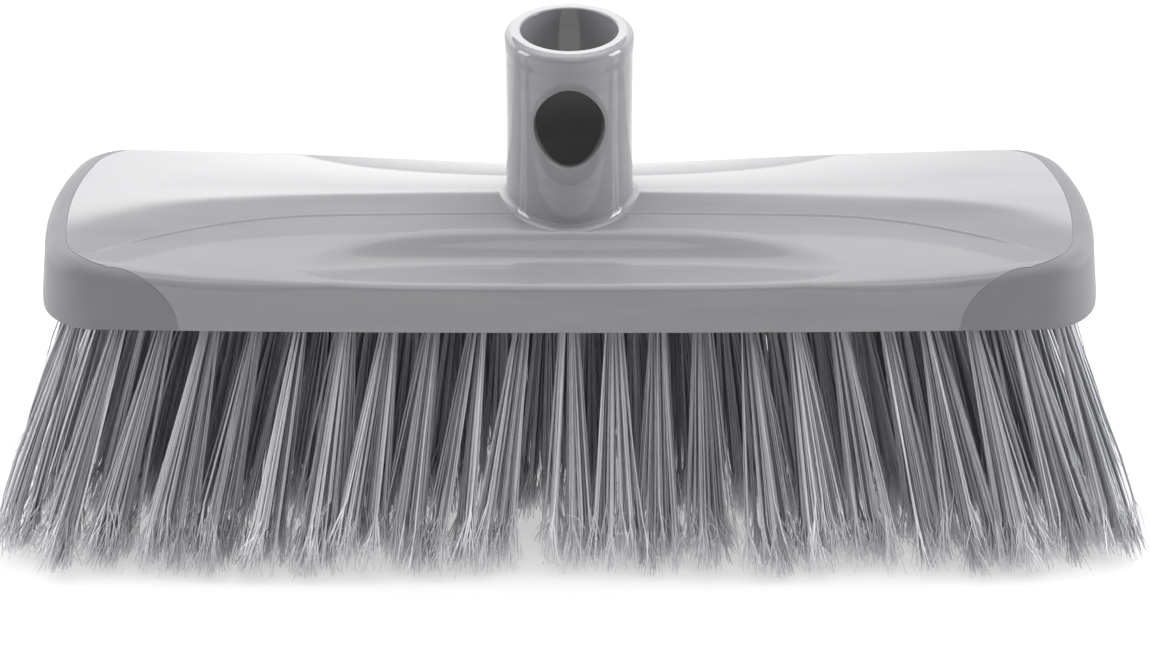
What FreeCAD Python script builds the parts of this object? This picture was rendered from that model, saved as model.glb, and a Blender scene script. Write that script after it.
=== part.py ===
import FreeCAD, Part
import math
import os

# Sweeping-brush head: a glossy moulded cover with an upright handle socket, two soft
# end bumpers, a tuft board closed into the underside, five rows of bristle tufts with
# their anchors, and the screws that hold the board.
# Millimetres. +X along the length, +Z up, -Y is the side with the handle-lock window.
# The origin is on the floor, under the middle of the head: z = 0 is the bristle tips.

V = FreeCAD.Vector
doc = FreeCAD.newDocument("BroomHead")

# ---------------------------------------------------------------- driving dimensions
sheet = doc.addObject("Spreadsheet::Sheet", "Dims")
DIMS = [
    ("rim_z", 66.0),            # lower rim of the cover above the floor
    ("half_length", 136.3),     # rim outline, middle to end
    ("half_depth", 36.1),       # rim outline, middle to front
    ("end_radius", 90.0),       # bulge of the ends in plan
    ("side_radius", 4640.0),    # very slight bulge of the long sides
    ("corner_radius", 16.5),    # plan corners
    ("draft_deg", 9.0),         # draft of the side walls
    ("blank_height", 26.0),     # height of the drafted blank before the top is formed
    ("edge_round", 4.0),        # rounding of the top edge
    ("skin", 2.5),              # top wall thickness
    ("crest_z", 86.4),          # height of the flat crest that carries the socket
    ("end_drop", 2.6),         # fall of the crest towards the ends
    ("slope_drop", 5.2),        # fall from the crest to the front edge
    ("back_drop_mid", 7.3),     # further roll of the back towards its edge at mid length
    ("back_drop_end", 0.2),
    ("scoop_floor_z", 78.7),    # finger scoop on the front slope
    ("scoop_half", 77.0),
    ("socket_outer", 15.9),     # radius of the socket tube
    ("socket_top_z", 132.2),
    ("socket_lip_round", 2.1),
    ("socket_flare", 1.8),
    ("bore_radius", 12.05),     # takes a 24 mm handle
    ("bore_floor_z", 87.2),
    ("bore_mouth_chamfer", 0.4),
    ("cup_radius", 15.0),
    ("cup_bottom_z", 79.2),
    ("window_half_width", 8.2),
    ("window_half_height", 10.9),
    ("window_z", 111.6),
    ("bumper_wall", 2.2),       # soft wall over the ends
    ("bumper_cap", 2.0),        # depth of the soft band let into the top face
    ("island_half_length", 128.2),
    ("island_half_depth", 31.9),
    ("island_corner", 12.5),
    ("lobe_x", 97.3),           # where the bumper seam meets the rim
    ("lobe_top_x", 109.5),      # where it meets the top edge
    ("lobe_top_z", 83.2),
    ("pocket_half_length", 130.0),
    ("pocket_half_depth", 32.1),
    ("pocket_corner", 12.0),
    ("board_fit", 0.25),
    ("board_bottom_z", 67.2),
    ("board_top_z", 75.6),
    ("board_edge_chamfer", 0.6),
    ("cavity_half_length", 127.6),
    ("cavity_half_depth", 29.4),
    ("cavity_corner", 10.0),
    ("row_gap", 12.0),          # between rows at the board
    ("tuft_pitch", 11.2),       # along a row at the board
    ("row_gap_tip", 22.3),      # between rows at the floor
    ("tuft_pitch_tip", 13.35),  # along a row at the floor
    ("tuft_root_radius", 2.2),
    ("tuft_tip_radius", 5.6),
    ("tuft_depth", 5.6),        # tuft inside its hole
    ("hole_depth", 7.3),
    ("hole_fit", 0.12),
    ("anchor_width", 4.2),
    ("anchor_height", 1.4),
    ("anchor_thick", 0.35),
    ("screw_x", 81.2),
    ("screw_y", 6.0),
    ("screw_shank", 1.5),
    ("screw_head", 2.9),
    ("screw_head_height", 1.6),
    ("screw_length", 11.0),
    ("screw_sink", 2.4),        # depth of the head pocket in the board
    ("boss_radius", 3.6),
    ("pilot_radius", 1.25),
    ("rib_thick", 1.6),
]
for i, (name, value) in enumerate(DIMS):
    sheet.set("A%d" % (i + 1), name)
    sheet.set("B%d" % (i + 1), str(value))
    sheet.setAlias("B%d" % (i + 1), name)
doc.recompute()
D = {name: float(getattr(sheet, name)) for name, _ in DIMS}


def plane(body, role):
    for f in body.Origin.OriginFeatures:
        if f.Role == role:
            return f
    raise RuntimeError(role)


def bind(obj, **props):
    for prop, expr in props.items():
        obj.setExpression(prop, expr)


# ---------------------------------------------------------------- plan outlines
def corner_centre(hl, hd, rc):
    # centre of the corner arc that touches the end arc and the long-side arc inside
    re, rs = D["end_radius"], D["side_radius"]
    ex, sy = hl - re, rs - hd
    x, y = hl - rc, hd - rc
    for _ in range(60):
        y = math.sqrt((rs - rc) ** 2 - x * x) - sy
        x = ex + math.sqrt((re - rc) ** 2 - y * y)
    return x, y


def outline_sketch(body, name, hl_expr, hd_expr, rc_expr, hl, hd, rc, z_expr):
    """Closed outline of eight tangent arcs, driven by the sheet."""
    sk = body.newObject("Sketcher::SketchObject", name)
    sk.AttachmentSupport = (plane(body, "XY_Plane"), [""])
    sk.MapMode = "FlatFace"
    sk.setExpression("AttachmentOffset.Base.z", z_expr)
    re, rs = D["end_radius"], D["side_radius"]
    cx, cy = corner_centre(hl, hd, rc)
    ex, sy = hl - re, rs - hd
    a_end = math.atan2(cy, cx - ex)             # end arc / corner arc contact
    a_side = math.atan2(cy + sy, cx)            # corner arc / long arc contact

    def arc(c, r, a0, a1):
        return Part.ArcOfCircle(Part.Circle(V(c[0], c[1], 0), V(0, 0, 1), r), a0, a1)

    pi = math.pi
    geo = [
        arc((ex, 0), re, -a_end, a_end),                      # 0 right end
        arc((cx, cy), rc, a_end, a_side),                     # 1 right back corner
        arc((0, -sy), rs, a_side, pi - a_side),               # 2 back
        arc((-cx, cy), rc, pi - a_side, pi - a_end),          # 3 left back corner
        arc((-ex, 0), re, pi - a_end, pi + a_end),            # 4 left end
        arc((-cx, -cy), rc, pi + a_end, pi + a_side),         # 5 left front corner
        arc((0, sy), rs, pi + a_side, 2 * pi - a_side),       # 6 front
        arc((cx, -cy), rc, 2 * pi - a_side, 2 * pi - a_end),  # 7 right front corner
    ]
    sk.addGeometry(geo, False)
    C = Sketcher.Constraint
    con = []
    for i in range(8):
        con.append(C("Tangent", i, 2, (i + 1) % 8, 1))
    con += [C("PointOnObject", 0, 3, -1), C("PointOnObject", 4, 3, -1),
            C("PointOnObject", 2, 3, -2), C("PointOnObject", 6, 3, -2)]
    con += [C("Equal", 0, 4), C("Equal", 2, 6), C("Equal", 1, 3), C("Equal", 3, 5),
            C("Equal", 5, 7)]
    sk.addConstraint(con)
    named = [("end_r", C("Radius", 0, re), "Dims.end_radius"),
             ("side_r", C("Radius", 2, rs), "Dims.side_radius"),
             ("corner_r", C("Radius", 1, rc), rc_expr),
             ("end_x", C("DistanceX", -1, 1, 0, 3, ex), hl_expr + " - Dims.end_radius"),
             ("end_x2", C("DistanceX", 4, 3, -1, 1, ex), hl_expr + " - Dims.end_radius"),
             ("side_y", C("DistanceY", -1, 1, 6, 3, sy), "Dims.side_radius - " + hd_expr),
             ("side_y2", C("DistanceY", 2, 3, -1, 1, sy), "Dims.side_radius - " + hd_expr)]
    for label, c, expr in named:
        n = sk.addConstraint(c)
        sk.renameConstraint(n, label)
        sk.setExpression("Constraints." + label, expr)
    return sk


def outline_pad(label, hl_expr, hd_expr, rc_expr, hl, hd, rc, z_expr, len_expr, taper=None):
    body = doc.addObject("PartDesign::Body", label)
    sk = outline_sketch(body, label + "_outline", hl_expr, hd_expr, rc_expr, hl, hd, rc, z_expr)
    pad = body.newObject("PartDesign::Pad", label + "_pad")
    pad.Profile = sk
    pad.setExpression("Length", len_expr)
    if taper:
        pad.setExpression("TaperAngle", taper)
    body.Tip = pad
    doc.recompute()
    return body


import Sketcher

# ---------------------------------------------------------------- formed top surface
def crease(x):
    # half-width of the flat crest: a narrow waist at the socket, opening in an arch
    # towards the ends until it takes in the whole depth
    return 10.6 + 0.002515 * max(0.0, abs(x) - 60.0) ** 2.15


def smooth(a, b, t):
    u = min(1.0, max(0.0, (t - a) / (b - a)))
    return u * u * (3.0 - 2.0 * u)


def top_height(x, y):
    z = D["crest_z"] - D["end_drop"] * (x / 128.0) ** 2 - 0.5 * (y / 35.0) ** 2
    if y >= 0.0:
        # the back rolls over evenly from the middle to its edge
        fall = D["back_drop_end"] + D["back_drop_mid"] * math.exp(-(x / 88.0) ** 2)
        return z - fall * (y / 30.0) ** 1.5
    w = -y - crease(x)
    if w > 0.0:
        z -= D["slope_drop"] * (w / 23.4) ** 1.4
    # finger scoop: a dished ledge let into the front slope
    if abs(x) < D["scoop_half"] + 1.0:
        upper = 16.3 + 15.5 * (abs(x) / 76.0) ** 4.4
        floor = D["scoop_floor_z"] + 2.6 * (abs(x) / 76.0) ** 5
        k = smooth(upper, upper + 8.5, -y) * smooth(0.0, 11.0, D["scoop_half"] - abs(x))
        if floor < z:
            z += (floor - z) * k
    return z


def formed_block(name, drop):
    """Everything below the formed top face, lowered by drop."""
    xs = [-144.0 + 4.0 * i for i in range(73)]
    ys = [-44.0 + 2.0 * j for j in range(45)]
    pts = [[V(x, y, top_height(x, y) - drop) for y in ys] for x in xs]
    surf = Part.BSplineSurface()
    surf.interpolate(pts)
    solid = surf.toShape().extrude(V(0, 0, -40.0))
    if solid.Volume < 0:
        solid.reverse()
    f = doc.addObject("Part::Feature", name)
    f.Shape = solid
    return f


outer_blank = outline_pad("OuterBlank", "Dims.half_length", "Dims.half_depth",
                          "Dims.corner_radius", D["half_length"], D["half_depth"],
                          D["corner_radius"], "Dims.rim_z", "Dims.blank_height",
                          "-Dims.draft_deg * 1 deg")
top_form = formed_block("TopForm", 0.0)
outer_sharp = doc.addObject("Part::Common", "OuterSharp")
outer_sharp.Base = outer_blank
outer_sharp.Tool = top_form
doc.recompute()


def top_edges(shape):
    """Numbers of the edges between the formed top face and the side walls."""
    top = max(shape.Faces, key=lambda f: f.CenterOfMass.z)
    out = []
    for i, e in enumerate(shape.Edges):
        if any(e.isSame(te) for te in top.Edges):
            out.append(i + 1)
    return out


outer = doc.addObject("Part::Fillet", "OuterForm")
outer.Base = outer_sharp
outer.Edges = [(n, D["edge_round"], D["edge_round"]) for n in top_edges(outer_sharp.Shape)]
doc.recompute()

# ---------------------------------------------------------------- end bumpers
# the seam: a quarter-ellipse lobe on the side wall, then an island edge on the top face
island = outline_pad("Island", "Dims.island_half_length", "Dims.island_half_depth",
                     "Dims.island_corner", D["island_half_length"], D["island_half_depth"],
                     D["island_corner"], "Dims.rim_z - 2", "40")
core_blank = outline_pad("CoreBlank", "(Dims.half_length - Dims.bumper_wall)",
                         "(Dims.half_depth - Dims.bumper_wall)",
                         "(Dims.corner_radius - Dims.bumper_wall)",
                         D["half_length"] - D["bumper_wall"], D["half_depth"] - D["bumper_wall"],
                         D["corner_radius"] - D["bumper_wall"], "Dims.rim_z", "Dims.blank_height",
                         "-Dims.draft_deg * 1 deg")
cap_form = formed_block("CapForm", D["bumper_cap"])
core_low = doc.addObject("Part::Common", "CoreLow")
core_low.Base, core_low.Tool = core_blank, cap_form
core = doc.addObject("Part::Fuse", "Core")
core.Base, core.Tool = core_low, island


def end_zone(name, side):
    """Block beyond the lobe on one side, swept along Y."""
    x0, z0, x1, z1 = D["lobe_x"], D["rim_z"], D["lobe_top_x"], D["lobe_top_z"]
    pts = []
    n = 16
    for i in range(n + 1):
        a = 0.5 * math.pi * i / n
        pts.append(V(side * (x1 - (x1 - x0) * math.cos(a)), -60, z0 + (z1 - z0) * math.sin(a)))
    curve = Part.BSplineCurve()
    curve.interpolate(pts)
    e0 = Part.makeLine(V(side * x0, -60, z0 - 4), pts[0])
    e1 = curve.toShape()
    e2 = Part.makeLine(pts[-1], V(side * x1, -60, 100))
    e3 = Part.makeLine(V(side * x1, -60, 100), V(side * 160, -60, 100))
    e4 = Part.makeLine(V(side * 160, -60, 100), V(side * 160, -60, z0 - 4))
    e5 = Part.makeLine(V(side * 160, -60, z0 - 4), V(side * x0, -60, z0 - 4))
    f = Part.Face(Part.Wire([e0, e1, e2, e3, e4, e5]))
    o = doc.addObject("Part::Feature", name)
    s = f.extrude(V(0, 120, 0))
    if s.Volume < 0:
        s.reverse()
    o.Shape = s
    return o


bumpers = []
for side, label in ((-1, "left_bumper"), (1, "right_bumper")):
    zone = end_zone(label + "_zone", side)
    rough = doc.addObject("Part::Common", label + "_rough")
    rough.Base, rough.Tool = outer, zone
    b = doc.addObject("Part::Cut", label)
    b.Base, b.Tool = rough, core
    b.Label = label
    bumpers.append(b)
doc.recompute()
# ---------------------------------------------------------------- handle socket
socket = doc.addObject("PartDesign::Body", "Socket")
sk = socket.newObject("Sketcher::SketchObject", "SocketProfile")
sk.AttachmentSupport = (plane(socket, "XZ_Plane"), [""])
sk.MapMode = "FlatFace"
ro, zt, rl, fl = D["socket_outer"], D["socket_top_z"], D["socket_lip_round"], D["socket_flare"]
zb, cr, cb = D["crest_z"], D["cup_radius"], D["cup_bottom_z"]
sk.addGeometry([
    Part.LineSegment(V(0, cb, 0), V(cr, cb, 0)),
    Part.LineSegment(V(cr, cb, 0), V(cr, zb - 6.6, 0)),
    Part.LineSegment(V(cr, zb - 6.6, 0), V(ro + fl, zb - 6.6, 0)),
    Part.LineSegment(V(ro + fl, zb - 6.6, 0), V(ro + fl, zb - 0.5, 0)),
    Part.ArcOfCircle(Part.Circle(V(ro + fl, zb - 0.5 + fl, 0), V(0, 0, 1), fl), math.pi, 1.5 * math.pi),
    Part.LineSegment(V(ro, zb - 0.5 + fl, 0), V(ro, zt - rl, 0)),
    Part.ArcOfCircle(Part.Circle(V(ro - rl, zt - rl, 0), V(0, 0, 1), rl), 0, 0.5 * math.pi),
    Part.LineSegment(V(ro - rl, zt, 0), V(0, zt, 0)),
    Part.LineSegment(V(0, zt, 0), V(0, cb, 0)),
], False)
C = Sketcher.Constraint
for c in [C("Coincident", 0, 2, 1, 1), C("Coincident", 1, 2, 2, 1), C("Coincident", 2, 2, 3, 1),
          C("Coincident", 3, 2, 4, 2), C("Tangent", 4, 1, 5, 1), C("Tangent", 5, 2, 6, 1),
          C("Coincident", 6, 2, 7, 1), C("Coincident", 7, 2, 8, 1), C("Coincident", 8, 2, 0, 1),
          C("Horizontal", 0), C("Vertical", 1), C("Horizontal", 2), C("Vertical", 3),
          C("Vertical", 5), C("Horizontal", 7), C("Vertical", 8), C("PointOnObject", 8, 2, -2)]:
    sk.addConstraint(c)
for label, c, expr in [
        ("tube_r", C("DistanceX", -1, 1, 5, 1, ro), "Dims.socket_outer"),
        ("top", C("DistanceY", -1, 1, 7, 2, zt), "Dims.socket_top_z"),
        ("bottom", C("DistanceY", -1, 1, 8, 2, cb), "Dims.cup_bottom_z"),
        ("cup_r", C("DistanceX", 8, 2, 0, 2, cr), "Dims.cup_radius"),
        ("lip_r", C("Radius", 6, rl), "Dims.socket_lip_round"),
        ("flare_r", C("Radius", 4, fl), "Dims.socket_flare")]:
    n = sk.addConstraint(c)
    sk.renameConstraint(n, label)
    sk.setExpression("Constraints." + label, expr)
doc.recompute()
rev = socket.newObject("PartDesign::Revolution", "SocketTurn")
rev.Profile = sk
rev.ReferenceAxis = (sk, ["V_Axis"])
rev.Angle = 360
socket.Tip = rev
doc.recompute()

bore = doc.addObject("Part::Cylinder", "Bore")
bind(bore, Radius="Dims.bore_radius", Height="Dims.socket_top_z - Dims.bore_floor_z + 1")
bore.setExpression("Placement.Base.z", "Dims.bore_floor_z")
mouth = doc.addObject("Part::Cone", "BoreMouth")
bind(mouth, Radius1="Dims.bore_radius", Radius2="Dims.bore_radius + Dims.bore_mouth_chamfer + 0.2",
     Height="Dims.bore_mouth_chamfer + 0.2")
mouth.setExpression("Placement.Base.z", "Dims.socket_top_z - Dims.bore_mouth_chamfer")

# oval window through the front wall of the socket, with a flared lip
window = doc.addObject("PartDesign::Body", "Window")


def oval(body, name, y, a, b, z):
    s = body.newObject("Sketcher::SketchObject", name)
    s.AttachmentSupport = (plane(body, "XZ_Plane"), [""])
    s.MapMode = "FlatFace"
    s.AttachmentOffset = FreeCAD.Placement(V(0, 0, -y), FreeCAD.Rotation())
    if b >= a:
        s.addGeometry(Part.Ellipse(V(0, z + b, 0), V(a, z, 0), V(0, z, 0)), False)
    else:
        s.addGeometry(Part.Ellipse(V(a, z, 0), V(0, z + b, 0), V(0, z, 0)), False)
    return s


wa, wb, wz = D["window_half_width"], D["window_half_height"], D["window_z"]
s1 = oval(window, "WindowOval", 0.0, wa, wb, wz)
wpad = window.newObject("PartDesign::Pad", "WindowPad")
wpad.Profile = s1
wpad.Length = 22
wpad.Reversed = False
window.Tip = wpad
doc.recompute()
lip = doc.addObject("PartDesign::Body", "WindowLip")
l1 = oval(lip, "LipInner", -12.6, wa - 0.1, wb, wz)
l2 = oval(lip, "LipOuter", -16.6, wa + 2.2, wb + 4.4, wz - 1.5)
loft = lip.newObject("PartDesign::AdditiveLoft", "LipLoft")
loft.Profile = l1
loft.Sections = [l2]
lip.Tip = loft
doc.recompute()

# ---------------------------------------------------------------- hollow underside
pocket = outline_pad("BoardPocket", "Dims.pocket_half_length", "Dims.pocket_half_depth",
                     "Dims.pocket_corner", D["pocket_half_length"], D["pocket_half_depth"],
                     D["pocket_corner"], "Dims.rim_z - 2", "Dims.board_top_z - Dims.rim_z + 2")
cavity_blank = outline_pad("CavityBlank", "Dims.cavity_half_length", "Dims.cavity_half_depth",
                           "Dims.cavity_corner", D["cavity_half_length"], D["cavity_half_depth"],
                           D["cavity_corner"], "Dims.board_top_z - 1", "20")
ceiling = formed_block("CeilingForm", D["skin"])
cavity = doc.addObject("Part::Common", "Cavity")
cavity.Base, cavity.Tool = cavity_blank, ceiling
hollow = doc.addObject("Part::Fuse", "Hollow")
hollow.Base, hollow.Tool = cavity, pocket

# screw bosses and stiffening ribs hang from the ceiling down to the board
inner = []
SCREWS = [(sx, sy) for sx in (-1, 1) for sy in (-1, 1)]
for i, (sx, sy) in enumerate(SCREWS):
    bs = doc.addObject("Part::Cylinder", "Boss%d" % (i + 1))
    bind(bs, Radius="Dims.boss_radius", Height="Dims.crest_z - Dims.board_top_z - 3.2")
    bs.setExpression("Placement.Base.x", "%d * Dims.screw_x" % sx)
    bs.setExpression("Placement.Base.y", "%d * Dims.screw_y" % sy)
    bs.setExpression("Placement.Base.z", "Dims.board_top_z")
    inner.append(bs)
for i, x in enumerate((-108.0, -54.0, -27.0, 27.0, 54.0, 108.0)):
    rb = doc.addObject("Part::Box", "Rib%d" % (i + 1))
    bind(rb, Length="Dims.rib_thick", Width="2 * Dims.half_depth - 8",
         Height="Dims.crest_z - Dims.board_top_z + 6")
    rb.setExpression("Placement.Base.x", "%g - Dims.rib_thick / 2" % x)
    rb.setExpression("Placement.Base.y", "4 - Dims.half_depth")
    rb.setExpression("Placement.Base.z", "Dims.board_top_z + 0.3")
    inner.append(rb)
keel = doc.addObject("Part::Box", "Keel")
bind(keel, Length="2 * Dims.cavity_half_length + 1", Width="Dims.rib_thick",
     Height="Dims.crest_z - Dims.board_top_z + 6")
keel.setExpression("Placement.Base.x", "-Dims.cavity_half_length - 0.5")
keel.setExpression("Placement.Base.y", "-Dims.rib_thick / 2")
keel.setExpression("Placement.Base.z", "Dims.board_top_z + 0.3")
inner.append(keel)
inside_raw = doc.addObject("Part::MultiFuse", "InsideRaw")
inside_raw.Shapes = inner
inside = doc.addObject("Part::Common", "Inside")       # trimmed to the formed outside
inside.Base, inside.Tool = inside_raw, core_low
doc.recompute()

shell1 = doc.addObject("Part::Cut", "Shell1")
shell1.Base, shell1.Tool = outer, hollow
shell_socket = doc.addObject("Part::Fuse", "ShellSocket")
shell_socket.Base, shell_socket.Tool = shell1, socket
shell2 = doc.addObject("Part::Fuse", "Shell2")
shell2.Base, shell2.Tool = shell_socket, inside
bump_all = doc.addObject("Part::MultiFuse", "BumperSpace")
bump_all.Shapes = bumpers
pilots = []
for i, (sx, sy) in enumerate(SCREWS):
    p = doc.addObject("Part::Cylinder", "Pilot%d" % (i + 1))
    bind(p, Radius="Dims.pilot_radius", Height="6.6")
    p.setExpression("Placement.Base.x", "%d * Dims.screw_x" % sx)
    p.setExpression("Placement.Base.y", "%d * Dims.screw_y" % sy)
    p.setExpression("Placement.Base.z", "Dims.board_top_z - 0.1")
    pilots.append(p)
cuts = doc.addObject("Part::MultiFuse", "CoverCuts")
cuts.Shapes = [bore, mouth, window, lip] + pilots
shell3 = doc.addObject("Part::Cut", "Shell3")
shell3.Base, shell3.Tool = shell2, cuts
cover = doc.addObject("Part::Cut", "cover_shell")
cover.Base, cover.Tool = shell3, bump_all
cover.Label = "cover_shell"
doc.recompute()

# ---------------------------------------------------------------- tuft positions
def tuft_row(row):
    """(root, tip) of each tuft of a row; rows -2..2 from front to back."""
    out = []
    n = 23 if row % 2 == 0 else 22
    for k in range(n):
        i = k - (n - 1) / 2.0
        root = V(i * D["tuft_pitch"], row * D["row_gap"], D["board_bottom_z"])
        tip_x, tip_y = i * D["tuft_pitch_tip"], row * D["row_gap_tip"]
        # the plan corners of the brush are rounded: end tufts of the outer rows lean less
        if abs(row) == 2:
            over = max(0.0, abs(tip_x) - 118.0)
            tip_y -= math.copysign(0.0075 * over * over, tip_y)
        else:
            tip_x += math.copysign(0.6 if row else 1.2, tip_x) * (abs(i) / 11.0) ** 4
        out.append((root, V(tip_x, tip_y, 0.0)))
    return out


ROWS = [(-2, "front_row"), (-1, "front_inner_row"), (0, "middle_row"), (1, "back_inner_row"),
        (2, "back_row")]

# ---------------------------------------------------------------- tuft board
blank = doc.addObject("PartDesign::Body", "BoardBlank")
hl = D["pocket_half_length"] - D["board_fit"]
hd = D["pocket_half_depth"] - D["board_fit"]
rc = D["pocket_corner"] - D["board_fit"]
bs = outline_sketch(blank, "BoardOutline", "(Dims.pocket_half_length - Dims.board_fit)",
                    "(Dims.pocket_half_depth - Dims.board_fit)",
                    "(Dims.pocket_corner - Dims.board_fit)", hl, hd, rc, "Dims.board_bottom_z")
bp = blank.newObject("PartDesign::Pad", "BoardPad")
bp.Profile = bs
bp.setExpression("Length", "Dims.board_top_z - Dims.board_bottom_z")
blank.Tip = bp
doc.recompute()
low = [i + 1 for i, e in enumerate(bp.Shape.Edges)
       if e.BoundBox.ZMax < D["board_bottom_z"] + 0.01]
bc = blank.newObject("PartDesign::Chamfer", "BoardEdge")
bc.Base = (bp, ["Edge%d" % n for n in low])
bc.setExpression("Size", "Dims.board_edge_chamfer")
blank.Tip = bc
doc.recompute()

# screw clearance holes with sunk heads, and the slanted tuft holes
tools = []
for i, (sx, sy) in enumerate(SCREWS):
    for nm, r, z, h in (("Clear", "Dims.screw_shank + 0.3", "Dims.board_bottom_z - 1",
                         "Dims.board_top_z - Dims.board_bottom_z + 2"),
                        ("Sink", "Dims.screw_head + 0.3", "Dims.board_bottom_z - 1",
                         "Dims.screw_sink + 1")):
        c = doc.addObject("Part::Cylinder", "%s%d" % (nm, i + 1))
        bind(c, Radius=r, Height=h)
        c.setExpression("Placement.Base.x", "%d * Dims.screw_x" % sx)
        c.setExpression("Placement.Base.y", "%d * Dims.screw_y" % sy)
        c.setExpression("Placement.Base.z", z)
        tools.append(c)

floor_box = doc.addObject("Part::Box", "BelowFloor")
floor_box.Length, floor_box.Width, floor_box.Height = 400, 200, 20
floor_box.Placement = FreeCAD.Placement(V(-200, -100, -20), FreeCAD.Rotation())

hole_rows, tuft_nodes, anchor_nodes = [], [], []
for row, name in ROWS:
    cones, holes, staples = [], [], []
    for k, (root, tip) in enumerate(tuft_row(row)):
        axis = tip - root
        length = axis.Length
        axis.normalize()
        rot = FreeCAD.Rotation(V(0, 0, 1), axis)
        start = root - axis * D["tuft_depth"]
        full = length + D["tuft_depth"]
        grow = (D["tuft_tip_radius"] - D["tuft_root_radius"]) / full
        cone = doc.addObject("Part::Cone", "Tuft_%s_%d" % (name, k + 1))
        cone.setExpression("Radius1", "Dims.tuft_root_radius")
        cone.Radius2 = D["tuft_tip_radius"] + grow * 4.0
        cone.Height = full + 4.0
        cone.Placement = FreeCAD.Placement(start, rot)
        cones.append(cone)
        back = D["hole_depth"] - D["tuft_depth"]
        hole = doc.addObject("Part::Cone", "Hole_%s_%d" % (name, k + 1))
        hole.setExpression("Radius1", "Dims.tuft_root_radius + Dims.hole_fit")
        hole.Radius2 = D["tuft_root_radius"] + D["hole_fit"] + grow * 12.0
        hole.Height = 12.0 + back
        hole.Placement = FreeCAD.Placement(root - axis * D["hole_depth"], rot)
        holes.append(hole)
        st = doc.addObject("Part::Box", "Anchor_%s_%d" % (name, k + 1))
        bind(st, Length="Dims.anchor_width", Width="Dims.anchor_thick", Height="Dims.anchor_height")
        corner = rot.multVec(V(-D["anchor_width"] / 2, -D["anchor_thick"] / 2, 0.15))
        st.Placement = FreeCAD.Placement(root - axis * D["hole_depth"] + corner, rot)
        staples.append(st)
    hr = doc.addObject("Part::Compound", "Holes_" + name)
    hr.Links = holes
    hole_rows.append(hr)
    cr_ = doc.addObject("Part::Compound", "Cones_" + name)
    cr_.Links = cones
    t = doc.addObject("Part::Cut", name + "_tufts")
    t.Base, t.Tool = cr_, floor_box
    t.Label = name + "_tufts"
    tuft_nodes.append(t)
    a = doc.addObject("Part::Compound", name + "_anchors")
    a.Links = staples
    a.Label = name + "_anchors"
    anchor_nodes.append(a)

board = blank
for i, tool in enumerate(hole_rows + tools):
    cut = doc.addObject("Part::Cut", "BoardCut%d" % (i + 1))
    cut.Base, cut.Tool = board, tool
    board = cut
board.Label = "tuft_board"
doc.recompute()

# ---------------------------------------------------------------- board screws
screw = doc.addObject("PartDesign::Body", "ScrewTurn")
ss = screw.newObject("Sketcher::SketchObject", "ScrewProfile")
ss.AttachmentSupport = (plane(screw, "XZ_Plane"), [""])
ss.MapMode = "FlatFace"
hr_, hh, sr, sl = D["screw_head"], D["screw_head_height"], D["screw_shank"], D["screw_length"]
pr = D["pilot_radius"]
pts = [(0, 0), (hr_ - 0.5, 0), (hr_, 0.5), (hr_, hh), (sr, hh), (sr, hh + 5.4),
       (pr, hh + 5.7), (pr, hh + sl - 1.2), (0.2, hh + sl), (0, hh + sl)]
ss.addGeometry([Part.LineSegment(V(*pts[i], 0), V(*pts[(i + 1) % len(pts)], 0))
                for i in range(len(pts))], False)
for i in range(len(pts)):
    ss.addConstraint(Sketcher.Constraint("Coincident", i, 2, (i + 1) % len(pts), 1))
n = ss.addConstraint(Sketcher.Constraint("DistanceX", -1, 1, 3, 1, hr_))
ss.renameConstraint(n, "head")
ss.setExpression("Constraints.head", "Dims.screw_head")
doc.recompute()
sv = screw.newObject("PartDesign::Revolution", "ScrewRev")
sv.Profile = ss
sv.ReferenceAxis = (ss, ["V_Axis"])
sv.Angle = 360
screw.Tip = sv
doc.recompute()
cross = screw.newObject("Sketcher::SketchObject", "CrossRecess")
cross.AttachmentSupport = (plane(screw, "XY_Plane"), [""])
cross.MapMode = "FlatFace"
w, q = 0.35, 1.5
cp = [(-q, -w), (-w, -w), (-w, -q), (w, -q), (w, -w), (q, -w), (q, w), (w, w), (w, q),
      (-w, q), (-w, w), (-q, w)]
cross.addGeometry([Part.LineSegment(V(*cp[i], 0), V(*cp[(i + 1) % 12], 0)) for i in range(12)], False)
for i in range(12):
    cross.addConstraint(Sketcher.Constraint("Coincident", i, 2, (i + 1) % 12, 1))
doc.recompute()
v0 = sv.Shape.Volume
slot = screw.newObject("PartDesign::Pocket", "Recess")
slot.Profile = cross
slot.Length = 0.9
slot.Reversed = False
screw.Tip = slot
doc.recompute()
if slot.Shape.Volume > v0 - 0.5:
    slot.Reversed = True
    doc.recompute()
screws = []
for i, (sx, sy) in enumerate(SCREWS):
    o = doc.addObject("Part::Feature", "Screw%d" % (i + 1))
    o.Shape = screw.Shape.copy()
    o.Placement = FreeCAD.Placement(
        V(sx * D["screw_x"], sy * D["screw_y"],
          D["board_bottom_z"] + D["screw_sink"] - D["screw_head_height"]), FreeCAD.Rotation())
    screws.append(o)
board_screws = doc.addObject("Part::Compound", "board_screws")
board_screws.Links = screws
board_screws.Label = "board_screws"
doc.recompute()

# ---------------------------------------------------------------- checks and files
NODES = [cover] + bumpers + [board] + tuft_nodes + anchor_nodes + [board_screws]
for o in doc.Objects:
    if any(s in ("Invalid", "Error") for s in o.State):
        raise RuntimeError("%s is %s" % (o.Name, o.State))
os.makedirs("parts", exist_ok=True)
for o in NODES:
    if o.Shape.isNull() or not o.Shape.isValid():
        raise RuntimeError("%s has no valid shape" % o.Label)
    o.Shape.exportStep("parts/%s.step" % o.Label)
    print(o.Label, len(o.Shape.Solids), "solids", round(o.Shape.Volume), "mm3")
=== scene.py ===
import math

import bpy
import numpy as np
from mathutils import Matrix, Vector, kdtree
from mathutils.geometry import delaunay_2d_cdt


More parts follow.
